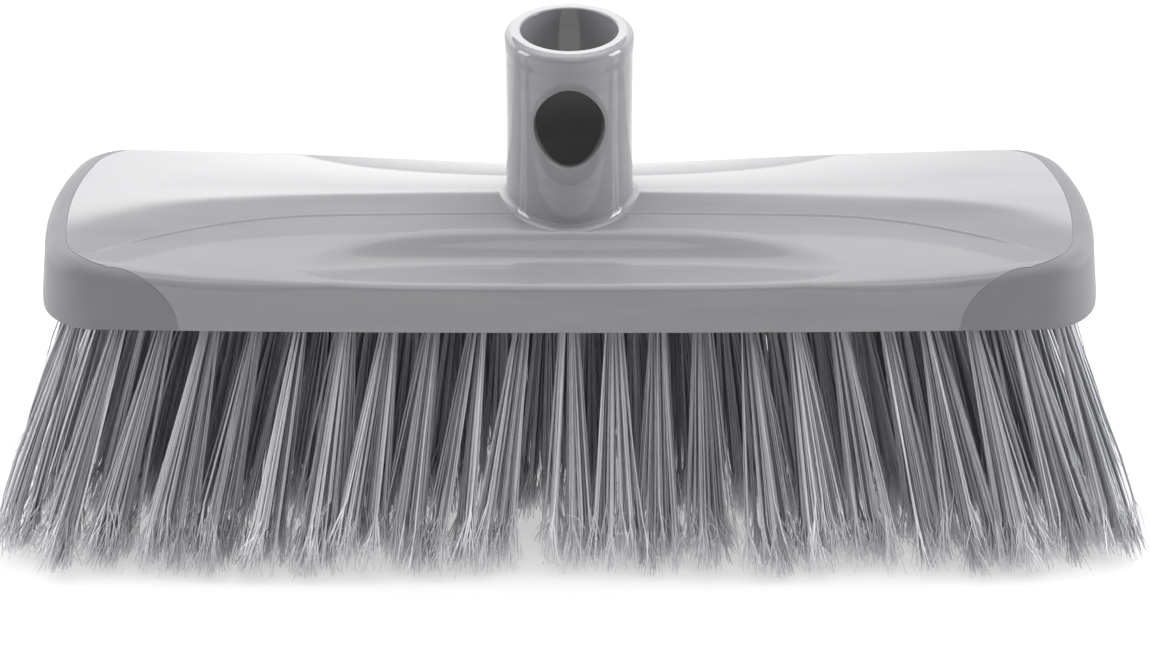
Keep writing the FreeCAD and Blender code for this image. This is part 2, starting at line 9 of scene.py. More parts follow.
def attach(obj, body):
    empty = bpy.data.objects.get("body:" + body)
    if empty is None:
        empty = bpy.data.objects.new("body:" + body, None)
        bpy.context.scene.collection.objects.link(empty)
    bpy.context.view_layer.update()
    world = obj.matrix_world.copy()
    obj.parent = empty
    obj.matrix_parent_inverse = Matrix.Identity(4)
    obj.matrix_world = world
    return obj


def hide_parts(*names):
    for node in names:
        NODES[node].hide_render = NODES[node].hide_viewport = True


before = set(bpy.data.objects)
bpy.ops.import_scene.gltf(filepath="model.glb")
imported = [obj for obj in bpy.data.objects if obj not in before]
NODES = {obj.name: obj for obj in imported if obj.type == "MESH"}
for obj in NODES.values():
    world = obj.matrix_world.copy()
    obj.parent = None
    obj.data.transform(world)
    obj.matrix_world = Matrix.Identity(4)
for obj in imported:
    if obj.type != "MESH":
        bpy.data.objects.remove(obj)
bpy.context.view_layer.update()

scene = bpy.context.scene

# --------------------------------------------------------------------------------------
# Cover form. Lengths here are millimetres in the row frame and turn to metres at the end.
# --------------------------------------------------------------------------------------
RIM_Z = 66.0
HL, HD, RC = 136.3, 36.1, 16.5
RE, RS = 90.0, 4640.0
DRAFT = math.radians(9.0)
R_TUBE, R_LIP, R_FOOT = 15.85, 16.1, 16.25
TUBE_TOP, LIP_R = 132.2, 2.1
R_BORE, BORE_FLOOR = 12.05, 87.2
WIN_Z, WIN_A, WIN_B = 111.6, 8.2, 10.9
DISH_Z, DISH_A, DISH_B, DISH_D = 110.9, 9.7, 14.5, 1.35


def smooth(a, b, t):
    u = np.clip((t - a) / (b - a), 0.0, 1.0)
    return u * u * (3.0 - 2.0 * u)


def crease(x):
    return 10.6 + 0.002515 * np.maximum(0.0, np.abs(x) - 60.0) ** 2.15


def top_height(x, y):
    x, y = np.asarray(x, float), np.asarray(y, float)
    z = 86.4 - 2.6 * (x / 128.0) ** 2 - 0.5 * (y / 35.0) ** 2
    z = z - 0.7 * (np.sqrt(1.0 + (y / 14.0) ** 2) - 1.0) * smooth(0.0, 40.0, 128.0 - np.abs(x))
    back = np.maximum(y, 0.0)
    fall = 0.2 + 7.3 * np.exp(-(x / 88.0) ** 2)
    zb_ = z - fall * (back / 30.0) ** 1.5
    w = -y - crease(x)
    fade = smooth(0.0, 22.0, 124.0 - np.abs(x))
    zf = z - 5.0 * (np.maximum(w, 0.0) / 23.4) ** 1.4 - 0.55 * smooth(-0.3, 0.4, w) * fade
    upper = 16.3 + 15.5 * (np.abs(x) / 76.0) ** 4.4
    floor = 78.7 + 2.6 * (np.abs(x) / 76.0) ** 5
    k = smooth(0.0, 8.5, -y - upper) * smooth(0.0, 11.0, 77.0 - np.abs(x))
    zf = zf + np.minimum(floor - zf, 0.0) * k
    return np.where(y >= 0, zb_, zf)


def top_normal(x, y, h=0.12):
    gx = (top_height(x + h, y) - top_height(x - h, y)) / (2 * h)
    gy = (top_height(x, y + h) - top_height(x, y - h)) / (2 * h)
    n = np.stack([-gx, -gy, np.ones_like(gx)], -1)
    return n / np.linalg.norm(n, axis=-1, keepdims=True)


class Outline:
    """Plan outline of eight tangent arcs, sampled by arc length from the front middle."""

    def __init__(self, hl, hd, rc):
        self.ex, self.sy, self.rc = hl - RE, RS - hd, rc
        x, y = hl - rc, hd - rc
        for _ in range(80):
            y = math.sqrt((RS - rc) ** 2 - x * x) - self.sy
            x = self.ex + math.sqrt((RE - rc) ** 2 - y * y)
        self.cx, self.cy = x, y
        ae, as_ = math.atan2(y, x - self.ex), math.atan2(y + self.sy, x)
        self.ae, self.as_ = ae, as_
        pi = math.pi
        self.arcs = [
            (0.0, self.sy, RS, 1.5 * pi, 2 * pi - as_),
            (x, -y, rc, 2 * pi - as_, 2 * pi - ae),
            (self.ex, 0.0, RE, -ae, ae),
            (x, y, rc, ae, as_),
            (0.0, -self.sy, RS, as_, pi - as_),
            (-x, y, rc, pi - as_, pi - ae),
            (-self.ex, 0.0, RE, pi - ae, pi + ae),
            (-x, -y, rc, pi + ae, pi + as_),
            (0.0, self.sy, RS, pi + as_, 1.5 * pi),
        ]
        self.len = np.array([r * (b - a) for _, _, r, a, b in self.arcs])
        self.cum = np.concatenate([[0.0], np.cumsum(self.len)])
        self.total = self.cum[-1]

    def at(self, u):
        u = np.mod(u, self.total)
        k = np.clip(np.searchsorted(self.cum, u, side="right") - 1, 0, 8)
        arc = np.array(self.arcs)[k]
        t = (u - self.cum[k]) / self.len[k]
        a = arc[:, 3] + t * (arc[:, 4] - arc[:, 3])
        n = np.stack([np.cos(a), np.sin(a)], -1)
        return arc[:, :2] + n * arc[:, 2:3], n

    def inside(self, x, y):
        x, y = np.abs(x), np.abs(y)
        ok = (np.hypot(x, y + self.sy) <= RS) & ((x < self.ex) | (np.hypot(x - self.ex, y) <= RE))
        a = np.arctan2(y - self.cy, x - self.cx)
        corner = (x > self.cx) & (y > self.cy)
        return ok & (~corner | (np.hypot(x - self.cx, y - self.cy) <= self.rc))


RIM = Outline(HL, HD, RC)
ISLAND = Outline(128.2, 31.9, 12.5)
POCKET = Outline(130.0, 32.1, 12.0)
BAND = 4.0


def round_radius(o, n):
    """Top edge rounding: soft at the ends and the back, tighter along the scoop ledge."""
    x, front = o[:, 0], (n[:, 1] < -0.5)
    tight = smooth(0.0, 26.0, 84.0 - np.abs(x)) * front
    return 4.2 - 2.0 * tight


class Strip:
    """Side wall, rounded top edge and the outer band of the top face, by station and p."""

    def __init__(self, u):
        self.u = u
        self.o, self.n = RIM.at(u)
        self.r = round_radius(self.o, self.n)
        nw = np.array([-math.cos(DRAFT), math.sin(DRAFT)])
        lo, hi = np.zeros(len(u)), np.full(len(u), 16.0)
        for _ in range(50):
            d = 0.5 * (lo + hi)
            c, _ = self._centre(d)
            f = c[:, 0] * nw[0] + (c[:, 1] - RIM_Z) * nw[1] + self.r
            hi = np.where(f < 0, d, hi)
            lo = np.where(f < 0, lo, d)
        self.d = 0.5 * (lo + hi)
        self.c, self.nt = self._centre(self.d)
        self.w1 = self.c + self.r[:, None] * nw
        self.z0 = RIM_Z + 0.45
        self.w0 = np.stack([np.full(len(u), math.tan(DRAFT) * 0.45), np.full(len(u), self.z0)], -1)
        self.nw3 = np.concatenate([self.n * math.cos(DRAFT), np.full((len(u), 1), math.sin(DRAFT))], -1)

    def _plan(self, d):
        return self.o - self.n * d[:, None]

    def _centre(self, d):
        p = self._plan(d)
        h = 0.1
        p2 = self._plan(d + h)
        p1 = self._plan(d - h)
        m = (top_height(p2[:, 0], p2[:, 1]) - top_height(p1[:, 0], p1[:, 1])) / (2 * h)
        s = np.sqrt(1 + m * m)
        nt = np.stack([-m / s, 1 / s], -1)
        foot = np.stack([d, top_height(p[:, 0], p[:, 1])], -1)
        return foot - self.r[:, None] * nt, nt

    def at(self, p):
        """p is an array with one value per station, 0 at the rim and 3 at the inner edge."""
        p = np.broadcast_to(np.asarray(p, float), self.u.shape)
        t0, t1, t2 = np.clip(p, 0, 1), np.clip(p - 1, 0, 1), np.clip(p - 2, 0, 1)
        nw2 = np.array([-math.cos(DRAFT), math.sin(DRAFT)])
        wall = self.w0 + (self.w1 - self.w0) * t0[:, None]
        om = np.arccos(np.clip(self.nt @ nw2, -1, 1))
        a = np.sin((1 - t1) * om) / np.sin(om)
        b = np.sin(t1 * om) / np.sin(om)
        na = a[:, None] * nw2 + b[:, None] * self.nt
        arc = self.c + self.r[:, None] * na
        dz = np.where((p <= 1)[:, None], wall, arc)
        d3 = self.d + t2 * BAND
        q = self._plan(np.where(p > 2, d3, dz[:, 0]))
        z = np.where(p > 2, top_height(q[:, 0], q[:, 1]), dz[:, 1])
        pos = np.concatenate([q, z[:, None]], -1)
        q2 = self._plan(self.d)
        nt3 = top_normal(q2[:, 0], q2[:, 1])
        om3 = np.arccos(np.clip((self.nw3 * nt3).sum(-1), -1, 1))
        n3 = (np.sin((1 - t1) * om3) / np.sin(om3))[:, None] * self.nw3 + \
             (np.sin(t1 * om3) / np.sin(om3))[:, None] * nt3
        n3 = np.where((p <= 1)[:, None], self.nw3, n3)
        n3 = np.where((p > 2)[:, None], top_normal(q[:, 0], q[:, 1]), n3)
        return pos, n3 / np.linalg.norm(n3, axis=-1, keepdims=True)

    def step(self, p, mm):
        """p moved by that many millimetres along the profile."""
        a, _ = self.at(p - 0.01)
        b, _ = self.at(p + 0.01)
        rate = np.linalg.norm(b - a, axis=-1) / 0.02
        return p + mm / np.maximum(rate, 1e-3)


def in_bumper(pos):
    x, z = np.abs(pos[:, 0]), pos[:, 2]
    u = (114.5 - x) / 17.2
    v = np.clip((z - RIM_Z) / 16.2, 0, 1)
    lobe = (x >= 114.5) | (u * u + v * v < 1.0)
    return lobe & ~ISLAND.inside(pos[:, 0], pos[:, 1])


def stations():
    """Arc-length positions round the rim, closer together where the bumper seams start."""
    base = list(np.linspace(0, RIM.total, 860, endpoint=False))
    fine = np.linspace(0, RIM.total, 40000, endpoint=False)
    o, n = RIM.at(fine)
    ends = []
    for sx in (-1, 1):
        for sy in (-1, 1):
            k = np.argmin((o[:, 0] - sx * 97.3) ** 2 + (np.sign(o[:, 1]) != sy) * 1e6)
            u0 = fine[k]
            ends.append(u0)
            sgn = 1 if o[(k + 50) % len(o), 0] * sx > o[k, 0] * sx else -1
            base += list(u0 + sgn * 5.0 * (np.linspace(0, 1, 26) ** 2))
    u = np.unique(np.round(np.mod(base, RIM.total), 3))
    return u


U = stations()
STRIP = Strip(U)
lo = np.zeros(len(U))
hi = np.full(len(U), 3.0)
zone = in_bumper(STRIP.at(0.0)[0])
for _ in range(30):
    mid = 0.5 * (lo + hi)
    inb = in_bumper(STRIP.at(mid)[0])
    lo = np.where(inb, mid, lo)
    hi = np.where(inb, hi, mid)
P_SEAM = np.where(zone, 0.5 * (lo + hi), 0.0)


# --------------------------------------------------------------------------------------
# Mesh assembly
# --------------------------------------------------------------------------------------
class Builder:
    def __init__(self):
        self.p, self.n, self.f = [], [], []
        self.count = 0

    def add(self, pos, nrm, faces):
        pos, nrm = np.asarray(pos, float).reshape(-1, 3), np.asarray(nrm, float).reshape(-1, 3)
        self.p.append(pos)
        self.n.append(nrm)
        self.f.append(np.asarray(faces, int).reshape(-1, 3) + self.count)
        self.count += len(pos)

    def grid(self, pos, nrm, wrap=False):
        """rows x columns of points; wrap closes the columns on themselves."""
        pos, nrm = np.asarray(pos), np.asarray(nrm)
        a, b = pos.shape[:2]
        i = np.arange(a * b).reshape(a, b)
        j = np.concatenate([i, i[:, :1]], 1) if wrap else i
        q = np.stack([j[:-1, :-1], j[:-1, 1:], j[1:, 1:], j[1:, :-1]], -1).reshape(-1, 4)
        self.add(pos, nrm, np.concatenate([q[:, [0, 1, 2]], q[:, [0, 2, 3]]]))

    def make(self, name, weld=True):
        p, n, f = np.concatenate(self.p), np.concatenate(self.n), np.concatenate(self.f)
        n = n / np.maximum(np.linalg.norm(n, axis=-1, keepdims=True), 1e-9)
        if weld:
            key = np.round(p * 500).astype(np.int64)
            _, first, inv = np.unique(key, axis=0, return_index=True, return_inverse=True)
            inv = inv.reshape(-1)
            p, n, f = p[first], n[first], inv[f]
            ok = (f[:, 0] != f[:, 1]) & (f[:, 1] != f[:, 2]) & (f[:, 2] != f[:, 0])
            f = f[ok]
        g = np.cross(p[f[:, 1]] - p[f[:, 0]], p[f[:, 2]] - p[f[:, 0]])
        keep = np.linalg.norm(g, axis=-1) > 1e-9
        f, g = f[keep], g[keep]
        flip = (g * n[f].sum(1)).sum(-1) < 0
        f[flip] = f[flip][:, ::-1]
        used = np.unique(f)
        remap = np.full(len(p), -1)
        remap[used] = np.arange(len(used))
        p, n, f = p[used], n[used], remap[f]
        me = bpy.data.meshes.new(name)
        me.from_pydata((p * 0.001).tolist(), [], f.tolist())
        me.polygons.foreach_set("use_smooth", np.ones(len(me.polygons), bool))
        me.validate(clean_customdata=False)
        if len(me.vertices) == len(n):
            me.normals_split_custom_set_from_vertices(n.tolist())
        me.update()
        ob = bpy.data.objects.new(name, me)
        scene.collection.objects.link(ob)
        return ob


def cdt(points, loops, hole=None):
    """Triangles of the points inside closed loops of point numbers, less a hole test."""
    edges = []
    for lp in loops:
        edges += [(int(lp[i]), int(lp[(i + 1) % len(lp)])) for i in range(len(lp))]
    v, _, faces, ov, _, _ = delaunay_2d_cdt([Vector((float(a), float(b))) for a, b in points],
                                            edges, [], 1, 1e-6)
    tri = []
    for f in faces:
        for k in range(1, len(f) - 1):
            tri.append((f[0], f[k], f[k + 1]))
    vv = np.array([(a.x, a.y) for a in v])
    tri = np.array(tri, int)
    if hole is not None:
        c = vv[tri].mean(1)
        tri = tri[~hole(c[:, 0], c[:, 1])]
    return vv, tri


def clear_of(points, fixed, gap):
    kd = kdtree.KDTree(len(fixed))
    for i, (a, b) in enumerate(fixed):
        kd.insert((float(a), float(b), 0.0), i)
    kd.balance()
    return np.array([kd.find((float(a), float(b), 0.0))[2] > gap for a, b in points], bool)


cover = Builder()

# side wall, rounded edge and top band
rows = []
p0 = P_SEAM
edge_a = STRIP.step(p0, 0.16)
start = np.where(zone, edge_a, p0)
ts = np.concatenate([np.linspace(0, 1, 6)[:-1], 1 + np.linspace(0, 1, 13)[:-1], 2 + np.linspace(0, 1, 6)])
# each station runs from its start to 3 with the same number of rows
NR = 26
frac = np.linspace(0, 1, NR)
base_p = np.interp(frac, np.linspace(0, 1, len(ts)), ts)
pos_rows, nrm_rows = [], []
for k in range(NR):
    p = np.where(zone, start + (3.0 - start) * frac[k], base_p[k])
    a, b = STRIP.at(p)
    pos_rows.append(a)
    nrm_rows.append(b)
inner_loop = pos_rows[-1].copy()
s_pos, s_n = STRIP.at(np.where(zone, p0, 0.0))
s_pos2, _ = STRIP.at(np.where(zone, p0 + 0.004, 0.004))
g = s_pos2 - s_pos
g /= np.maximum(np.linalg.norm(g, axis=-1, keepdims=True), 1e-9)
zz = zone[:, None]
low_in = np.concatenate([STRIP.o - STRIP.n * 2.2, np.full((len(U), 1), RIM_Z)], -1)
n_flat = np.concatenate([STRIP.n, np.zeros((len(U), 1))], -1)
seam_rows_p = [np.where(zz, low_in, pos_rows[0]),
               np.where(zz, s_pos + g * 0.02 - s_n * 1.0, pos_rows[0]),
               np.where(zz, s_pos + g * 0.02 - s_n * 0.10, pos_rows[0]),
               np.where(zz, s_pos + g * 0.07 - s_n * 0.02, pos_rows[0])]
seam_rows_n = [np.where(zz, n_flat, nrm_rows[0]), np.where(zz, -g, nrm_rows[0]),
               np.where(zz, -g, nrm_rows[0]), np.where(zz, s_n - g * 0.8, nrm_rows[0])]
cover.grid(np.stack(seam_rows_p + pos_rows), np.stack(seam_rows_n + nrm_rows), wrap=True)

# rim: small rounding, flat underside, pocket wall and the face above the board
o, n = STRIP.o, STRIP.n
down = np.tile([0.0, 0.0, -1.0], (len(U), 1))
n3 = np.concatenate([n, np.zeros((len(U), 1))], -1)
round_p, round_n = [], []
for a in np.linspace(0, 1, 4):
    ang = a * 0.5 * math.pi
    d = np.full(len(U), math.tan(DRAFT) * 0.45 + 0.45 * (1 - math.cos(ang)))
    z = RIM_Z + 0.45 * (1 - math.sin(ang))
    q = o - n * d[:, None]
    q = np.where(zz, o - n * 2.2, q)
    zc = np.where(zone, RIM_Z, z)
    round_p.append(np.concatenate([q, zc[:, None]], -1))
    nn = n3 * math.cos(ang) - np.array([0, 0, 1.0]) * math.sin(ang)
    round_n.append(np.where(zz, down, nn))
po, pn = POCKET.at(U / RIM.total * POCKET.total)
pn3 = np.concatenate([pn, np.zeros((len(U), 1))], -1)
round_p.append(np.concatenate([po + pn * 0.3, np.full((len(U), 1), RIM_Z)], -1))
round_n.append(down)
round_p.append(np.concatenate([po, np.full((len(U), 1), RIM_Z + 0.3)], -1))
round_n.append(-pn3)
round_p.append(np.concatenate([po, np.full((len(U), 1), 75.72)], -1))
round_n.append(-pn3)
cover.grid(np.stack(round_p), np.stack(round_n), wrap=True)
roof = np.concatenate([po, np.full((len(U), 1), 75.72)], -1)
roof = np.concatenate([roof, [[0, 0, 75.72]]])
m = len(U)
cover.add(roof, np.tile([0.0, 0, -1], (m + 1, 1)),
          [(i, (i + 1) % m, m) for i in range(m)])

# formed top face, from the band to the foot of the socket
NT = 240
th = np.linspace(0, 2 * math.pi, NT, endpoint=False)
cth, sth = np.cos(th), np.sin(th)
FOOT_R = 1.9
lo_r, hi_r = np.full(NT, R_FOOT), np.full(NT, R_FOOT + 6)
for _ in range(40):
    r = 0.5 * (lo_r + hi_r)
    h = 0.1
    mm_ = (top_height((r + h) * cth, (r + h) * sth) - top_height((r - h) * cth, (r - h) * sth)) / (2 * h)
    cr = r - FOOT_R * mm_ / np.sqrt(1 + mm_ ** 2)
    hi_r = np.where(cr > R_FOOT + FOOT_R, r, hi_r)
    lo_r = np.where(cr > R_FOOT + FOOT_R, lo_r, r)
foot = 0.5 * (lo_r + hi_r)
foot_xy = np.stack([foot * cth, foot * sth], -1)
outer_xy = inner_loop[:, :2]
feat = []
for sx in (-1, 1):
    for x in np.arange(0.4, 122.0, 0.8):
        for dlt in (-0.45, -0.25, -0.05, 0.15, 0.35, 0.6):
            feat.append((sx * x, -float(crease(x)) - dlt))
feat = np.array(feat)
step = 1.0
gx, gy = np.meshgrid(np.arange(-132, 132.01, step), np.arange(-34, 34.01, step))
gx[::2] += step / 2
grid_xy = np.stack([gx.ravel(), gy.ravel()], -1)


def inside_top(p):
    rr = np.hypot(p[:, 0], p[:, 1])
    a = np.mod(np.arctan2(p[:, 1], p[:, 0]), 2 * math.pi)
    fr = np.interp(a, np.append(th, 2 * math.pi), np.append(foot, foot[0]))
    return rr > fr + 0.25


def foot_radius(x, y):
    a = np.mod(np.arctan2(y, x), 2 * math.pi)
    return np.interp(a, np.append(th, 2 * math.pi), np.append(foot, foot[0]))


feat = feat[inside_top(feat)]
feat = feat[clear_of(feat, outer_xy, 0.35)]
lim = Outline(HL, HD, RC)


def plan_inset(p):
    """Distance inside the rim outline, near enough for sorting points."""
    x, y = np.abs(p[:, 0]), np.abs(p[:, 1])
    a = RS - np.hypot(x, y + lim.sy)
    b = RE - np.hypot(np.maximum(x - lim.ex, 0), y)
    c = np.where((x > lim.cx) & (y > lim.cy), RC - np.hypot(x - lim.cx, y - lim.cy), 1e9)
    return np.minimum(np.minimum(a, b), c)


band_d = STRIP.d.mean() + BAND
feat = feat[plan_inset(feat) > 5.0]
grid_xy = grid_xy[inside_top(grid_xy) & (plan_inset(grid_xy) > 5.0)]
fixed = np.concatenate([outer_xy, foot_xy, feat])
grid_xy = grid_xy[clear_of(grid_xy, fixed, 0.42 * step)]
pts = np.concatenate([outer_xy, foot_xy, feat, grid_xy])
n_out = len(outer_xy)
vv, tri = cdt(pts, [list(range(n_out)), list(range(n_out, n_out + NT))],
              hole=lambda x, y: np.hypot(x, y) < foot_radius(x, y) - 0.0025)
tz = top_height(vv[:, 0], vv[:, 1])
cover.add(np.concatenate([vv, tz[:, None]], -1), top_normal(vv[:, 0], vv[:, 1]), tri)

# socket foot: a small fillet all round
fz = top_height(foot_xy[:, 0], foot_xy[:, 1])
fn = top_normal(foot_xy[:, 0], foot_xy[:, 1])
radial = np.stack([cth, sth, np.zeros(NT)], -1)
h = 0.1
mm_ = (top_height((foot + h) * cth, (foot + h) * sth) - top_height((foot - h) * cth, (foot - h) * sth)) / (2 * h)
s_ = np.sqrt(1 + mm_ ** 2)
cz = fz + FOOT_R / s_
crr = R_FOOT + FOOT_R
a0 = np.arctan2(-1 / s_, mm_ / s_)
rows_p, rows_n = [], []
for t in np.linspace(0, 1, 8):
    ang = a0 + (-math.pi - a0) * t
    rr = crr + FOOT_R * np.cos(ang)
    z = cz + FOOT_R * np.sin(ang)
    if t == 0:
        rr, z = foot, fz
    rows_p.append(np.stack([rr * cth, rr * sth, z], -1))
    nn = radial * (-np.cos(ang))[:, None] + np.array([0, 0, 1.0]) * (-np.sin(ang))[:, None]
    rows_n.append(fn if t == 0 else nn)
cover.grid(np.stack(rows_p), np.stack(rows_n), wrap=True)
tube_low = rows_p[-1][:, 2]


# socket tube with its window
def tube_radius(z):
    r = R_TUBE + (R_FOOT - R_TUBE) * smooth(0, 22, 108.0 - z)
    return r + (R_LIP - R_TUBE) * smooth(126.2, 128.6, z)


def dish(x, z):
    """Depth of the flared lip round the window at a front point."""
    qo = np.sqrt((x / DISH_A) ** 2 + ((z - DISH_Z) / DISH_B) ** 2)
    qi = np.sqrt((x / WIN_A) ** 2 + ((z - WIN_Z) / WIN_B) ** 2)
    t = np.clip((1.0 - qo) / np.maximum((1.0 - qo) + np.maximum(qi - 1.0, 0.0), 1e-6), 0, 1)
    t = np.where(qo >= 1.0, 0.0, t)
    return DISH_D * t + 0.25 * smooth(0.86, 1.0, t)


def tube_point(u, z):
    """u runs round the tube in millimetres of arc, zero at the front."""
    a = u / R_TUBE - 0.5 * math.pi
    r0 = tube_radius(z)
    x0 = r0 * np.cos(a)
    front = np.abs(u) < 0.45 * math.pi * R_TUBE
    r = r0 - np.where(front, dish(x0, z), 0.0)
    return np.stack([r * np.cos(a), r * np.sin(a), z], -1)


def tube_normal(u, z):
    h = 0.06
    a = tube_point(u + h, z) - tube_point(u - h, z)
    b = tube_point(u, z + h) - tube_point(u, z - h)
    n = np.cross(a, b)
    return n / np.linalg.norm(n, axis=-1, keepdims=True)


LIP_Z = TUBE_TOP - LIP_R
half = math.pi * R_TUBE
u_ring = np.mod(th + 0.5 * math.pi + math.pi, 2 * math.pi) - math.pi
order = np.argsort(u_ring)
u_sorted = u_ring[order] * R_TUBE
zl_sorted = tube_low[order]
u_b = np.append(u_sorted, u_sorted[0] + 2 * half)
zb_ = np.append(zl_sorted, zl_sorted[0])
# the window edge: an ellipse in x and z, at the dished radius
NW = 120
wa = np.linspace(0, 2 * math.pi, NW, endpoint=False)
win_x, win_z = WIN_A * np.cos(wa), WIN_Z + WIN_B * np.sin(wa)
r_edge = tube_radius(win_z) - DISH_D - 0.25
win_u = np.arcsin(np.clip(win_x / r_edge, -1, 1)) * R_TUBE
win_loop = np.stack([win_u, win_z], -1)


def ring_pts(a_, b_, zc_, k, r_at):
    x = a_ * np.cos(wa) * k
    z = zc_ + b_ * np.sin(wa) * k
    return np.stack([np.arcsin(np.clip(x / r_at, -1, 1)) * R_TUBE, z], -1)


rings = []
for k in np.linspace(0, 1, 9)[1:]:
    inner = win_loop
    outer_ = ring_pts(DISH_A, DISH_B, DISH_Z, 1.0, R_TUBE)
    rings.append(inner + (outer_ - inner) * k)
rings.append(ring_pts(DISH_A, DISH_B, DISH_Z, 1.02, R_TUBE))
rings.append(ring_pts(DISH_A, DISH_B, DISH_Z, 1.06, R_TUBE))
rings = np.concatenate(rings)
low = np.stack([u_b, zb_], -1)
high = np.stack([u_b, np.full(len(u_b), LIP_Z)], -1)
side_z = np.arange(zb_[0] + 1.0, LIP_Z - 0.5, 1.0)
left_side = np.stack([np.full(len(side_z), u_b[0]), side_z], -1)
right_side = np.stack([np.full(len(side_z), u_b[-1]), side_z], -1)
border = np.concatenate([low, right_side, high[::-1], left_side[::-1]])
gu, gz = np.meshgrid(np.arange(-half, half, 1.0), np.arange(86, LIP_Z, 1.0))
g2 = np.stack([gu.ravel(), gz.ravel()], -1)
lowz = np.interp(g2[:, 0], u_b, zb_)
q_in = (g2[:, 0] / (WIN_A + 0.9)) ** 2 + ((g2[:, 1] - WIN_Z) / (WIN_B + 0.4)) ** 2
g2 = g2[(g2[:, 1] > lowz + 0.5) & (g2[:, 0] > u_b[0] + 0.4) & (g2[:, 0] < u_b[-1] - 0.4) & (q_in > 1)]
g2 = g2[clear_of(g2, np.concatenate([border, rings, win_loop]), 0.45)]
pts = np.concatenate([border, win_loop, rings, g2])
nb = len(border)


def in_window(u, z):
    x = R_TUBE * np.sin(u / R_TUBE)
    re_ = tube_radius(z) - DISH_D - 0.25
    x = re_ * np.sin(u / R_TUBE)
    return (np.abs(u) < 0.4 * half * 2) & ((x / WIN_A) ** 2 + ((z - WIN_Z) / WIN_B) ** 2 < 1.003) & (np.abs(u) < 14)


vv, tri = cdt(pts, [list(range(nb)), list(range(nb, nb + NW))], hole=in_window)
cover.add(tube_point(vv[:, 0], vv[:, 1]), tube_normal(vv[:, 0], vv[:, 1]), tri)

# lip, mouth and bore
rows_p, rows_n = [], []
uu = u_b[:-1]
aa = uu / R_TUBE - 0.5 * math.pi
ca, sa = np.cos(aa), np.sin(aa)
rad = np.stack([ca, sa, np.zeros_like(ca)], -1)
upv = np.array([0, 0, 1.0])


def ring_row(r, z, nr, nz):
    rows_p.append(np.stack([r * ca, r * sa, np.full_like(ca, z)], -1))
    rows_n.append(rad * nr + upv * nz)


for t in np.linspace(0, 1, 9):
    a = t * 0.5 * math.pi
    ring_row(R_LIP - LIP_R + LIP_R * math.cos(a), LIP_Z + LIP_R * math.sin(a), math.cos(a), math.sin(a))
for t in np.linspace(0, 1, 5):
    a = t * 0.5 * math.pi
    ring_row(R_BORE + 0.45 - 0.45 * math.sin(a), TUBE_TOP - 0.45 + 0.45 * math.cos(a), -math.sin(a), math.cos(a))
cover.grid(np.stack(rows_p), np.stack(rows_n), wrap=True)

mouth_z = TUBE_TOP - 0.45
ub2 = u_b
low = np.stack([ub2, np.full(len(ub2), BORE_FLOOR + 0.6)], -1)
high = np.stack([ub2, np.full(len(ub2), mouth_z)], -1)
bw_u = np.arcsin(np.clip(win_x / R_BORE, -1, 1)) * R_TUBE
bw_loop = np.stack([bw_u, win_z], -1)
gu, gz = np.meshgrid(np.arange(-half + 1, half - 0.6, 1.5), np.arange(BORE_FLOOR + 1.6, mouth_z - 0.6, 2.0))
g2 = np.stack([gu.ravel(), gz.ravel()], -1)
xx = R_BORE * np.sin(g2[:, 0] / R_TUBE)
g2 = g2[~((np.abs(g2[:, 0]) < 15) & ((xx / (WIN_A + 0.5)) ** 2 + ((g2[:, 1] - WIN_Z) / (WIN_B + 0.6)) ** 2 < 1))]
border = np.concatenate([low, high[::-1]])
g2 = g2[clear_of(g2, np.concatenate([border, bw_loop]), 0.5)]
pts = np.concatenate([border, bw_loop, g2])
nb = len(border)


def in_bore_window(u, z):
    x = R_BORE * np.sin(u / R_TUBE)
    return (np.abs(u) < 15) & ((x / WIN_A) ** 2 + ((z - WIN_Z) / WIN_B) ** 2 < 1.003)


vv, tri = cdt(pts, [list(range(nb)), list(range(nb, nb + NW))], hole=in_bore_window)
aa2 = vv[:, 0] / R_TUBE - 0.5 * math.pi
cover.add(np.stack([R_BORE * np.cos(aa2), R_BORE * np.sin(aa2), vv[:, 1]], -1),
          np.stack([-np.cos(aa2), -np.sin(aa2), 0 * aa2], -1), tri)
# window reveal through the wall
outer_edge = tube_point(win_u, win_z)
bore_a = bw_u / R_TUBE - 0.5 * math.pi
inner_edge = np.stack([R_BORE * np.cos(bore_a), R_BORE * np.sin(bore_a), win_z], -1)
en = np.stack([-np.cos(wa) / WIN_A, 0 * wa, -np.sin(wa) / WIN_B], -1)
en /= np.linalg.norm(en, axis=-1, keepdims=True)
mid_edge = outer_edge + np.array([0, 0.18, 0]) - en * 0.0
cover.grid(np.stack([outer_edge, mid_edge, inner_edge]), np.stack([en, en, en]), wrap=True)
# bore floor with a small fillet
rows_p, rows_n = [], []
for t in np.linspace(0, 1, 4):
    a = t * 0.5 * math.pi
    ring_row(R_BORE - 0.6 * (1 - math.cos(a)), BORE_FLOOR + 0.6 * (1 - math.sin(a)), -math.cos(a), math.sin(a))
ring_row(4.0, BORE_FLOOR, 0, 1)
ring_row(0.02, BORE_FLOOR, 0, 1)
cover.grid(np.stack(rows_p), np.stack(rows_n), wrap=True)
COVER = cover.make("cover_shell_skin")

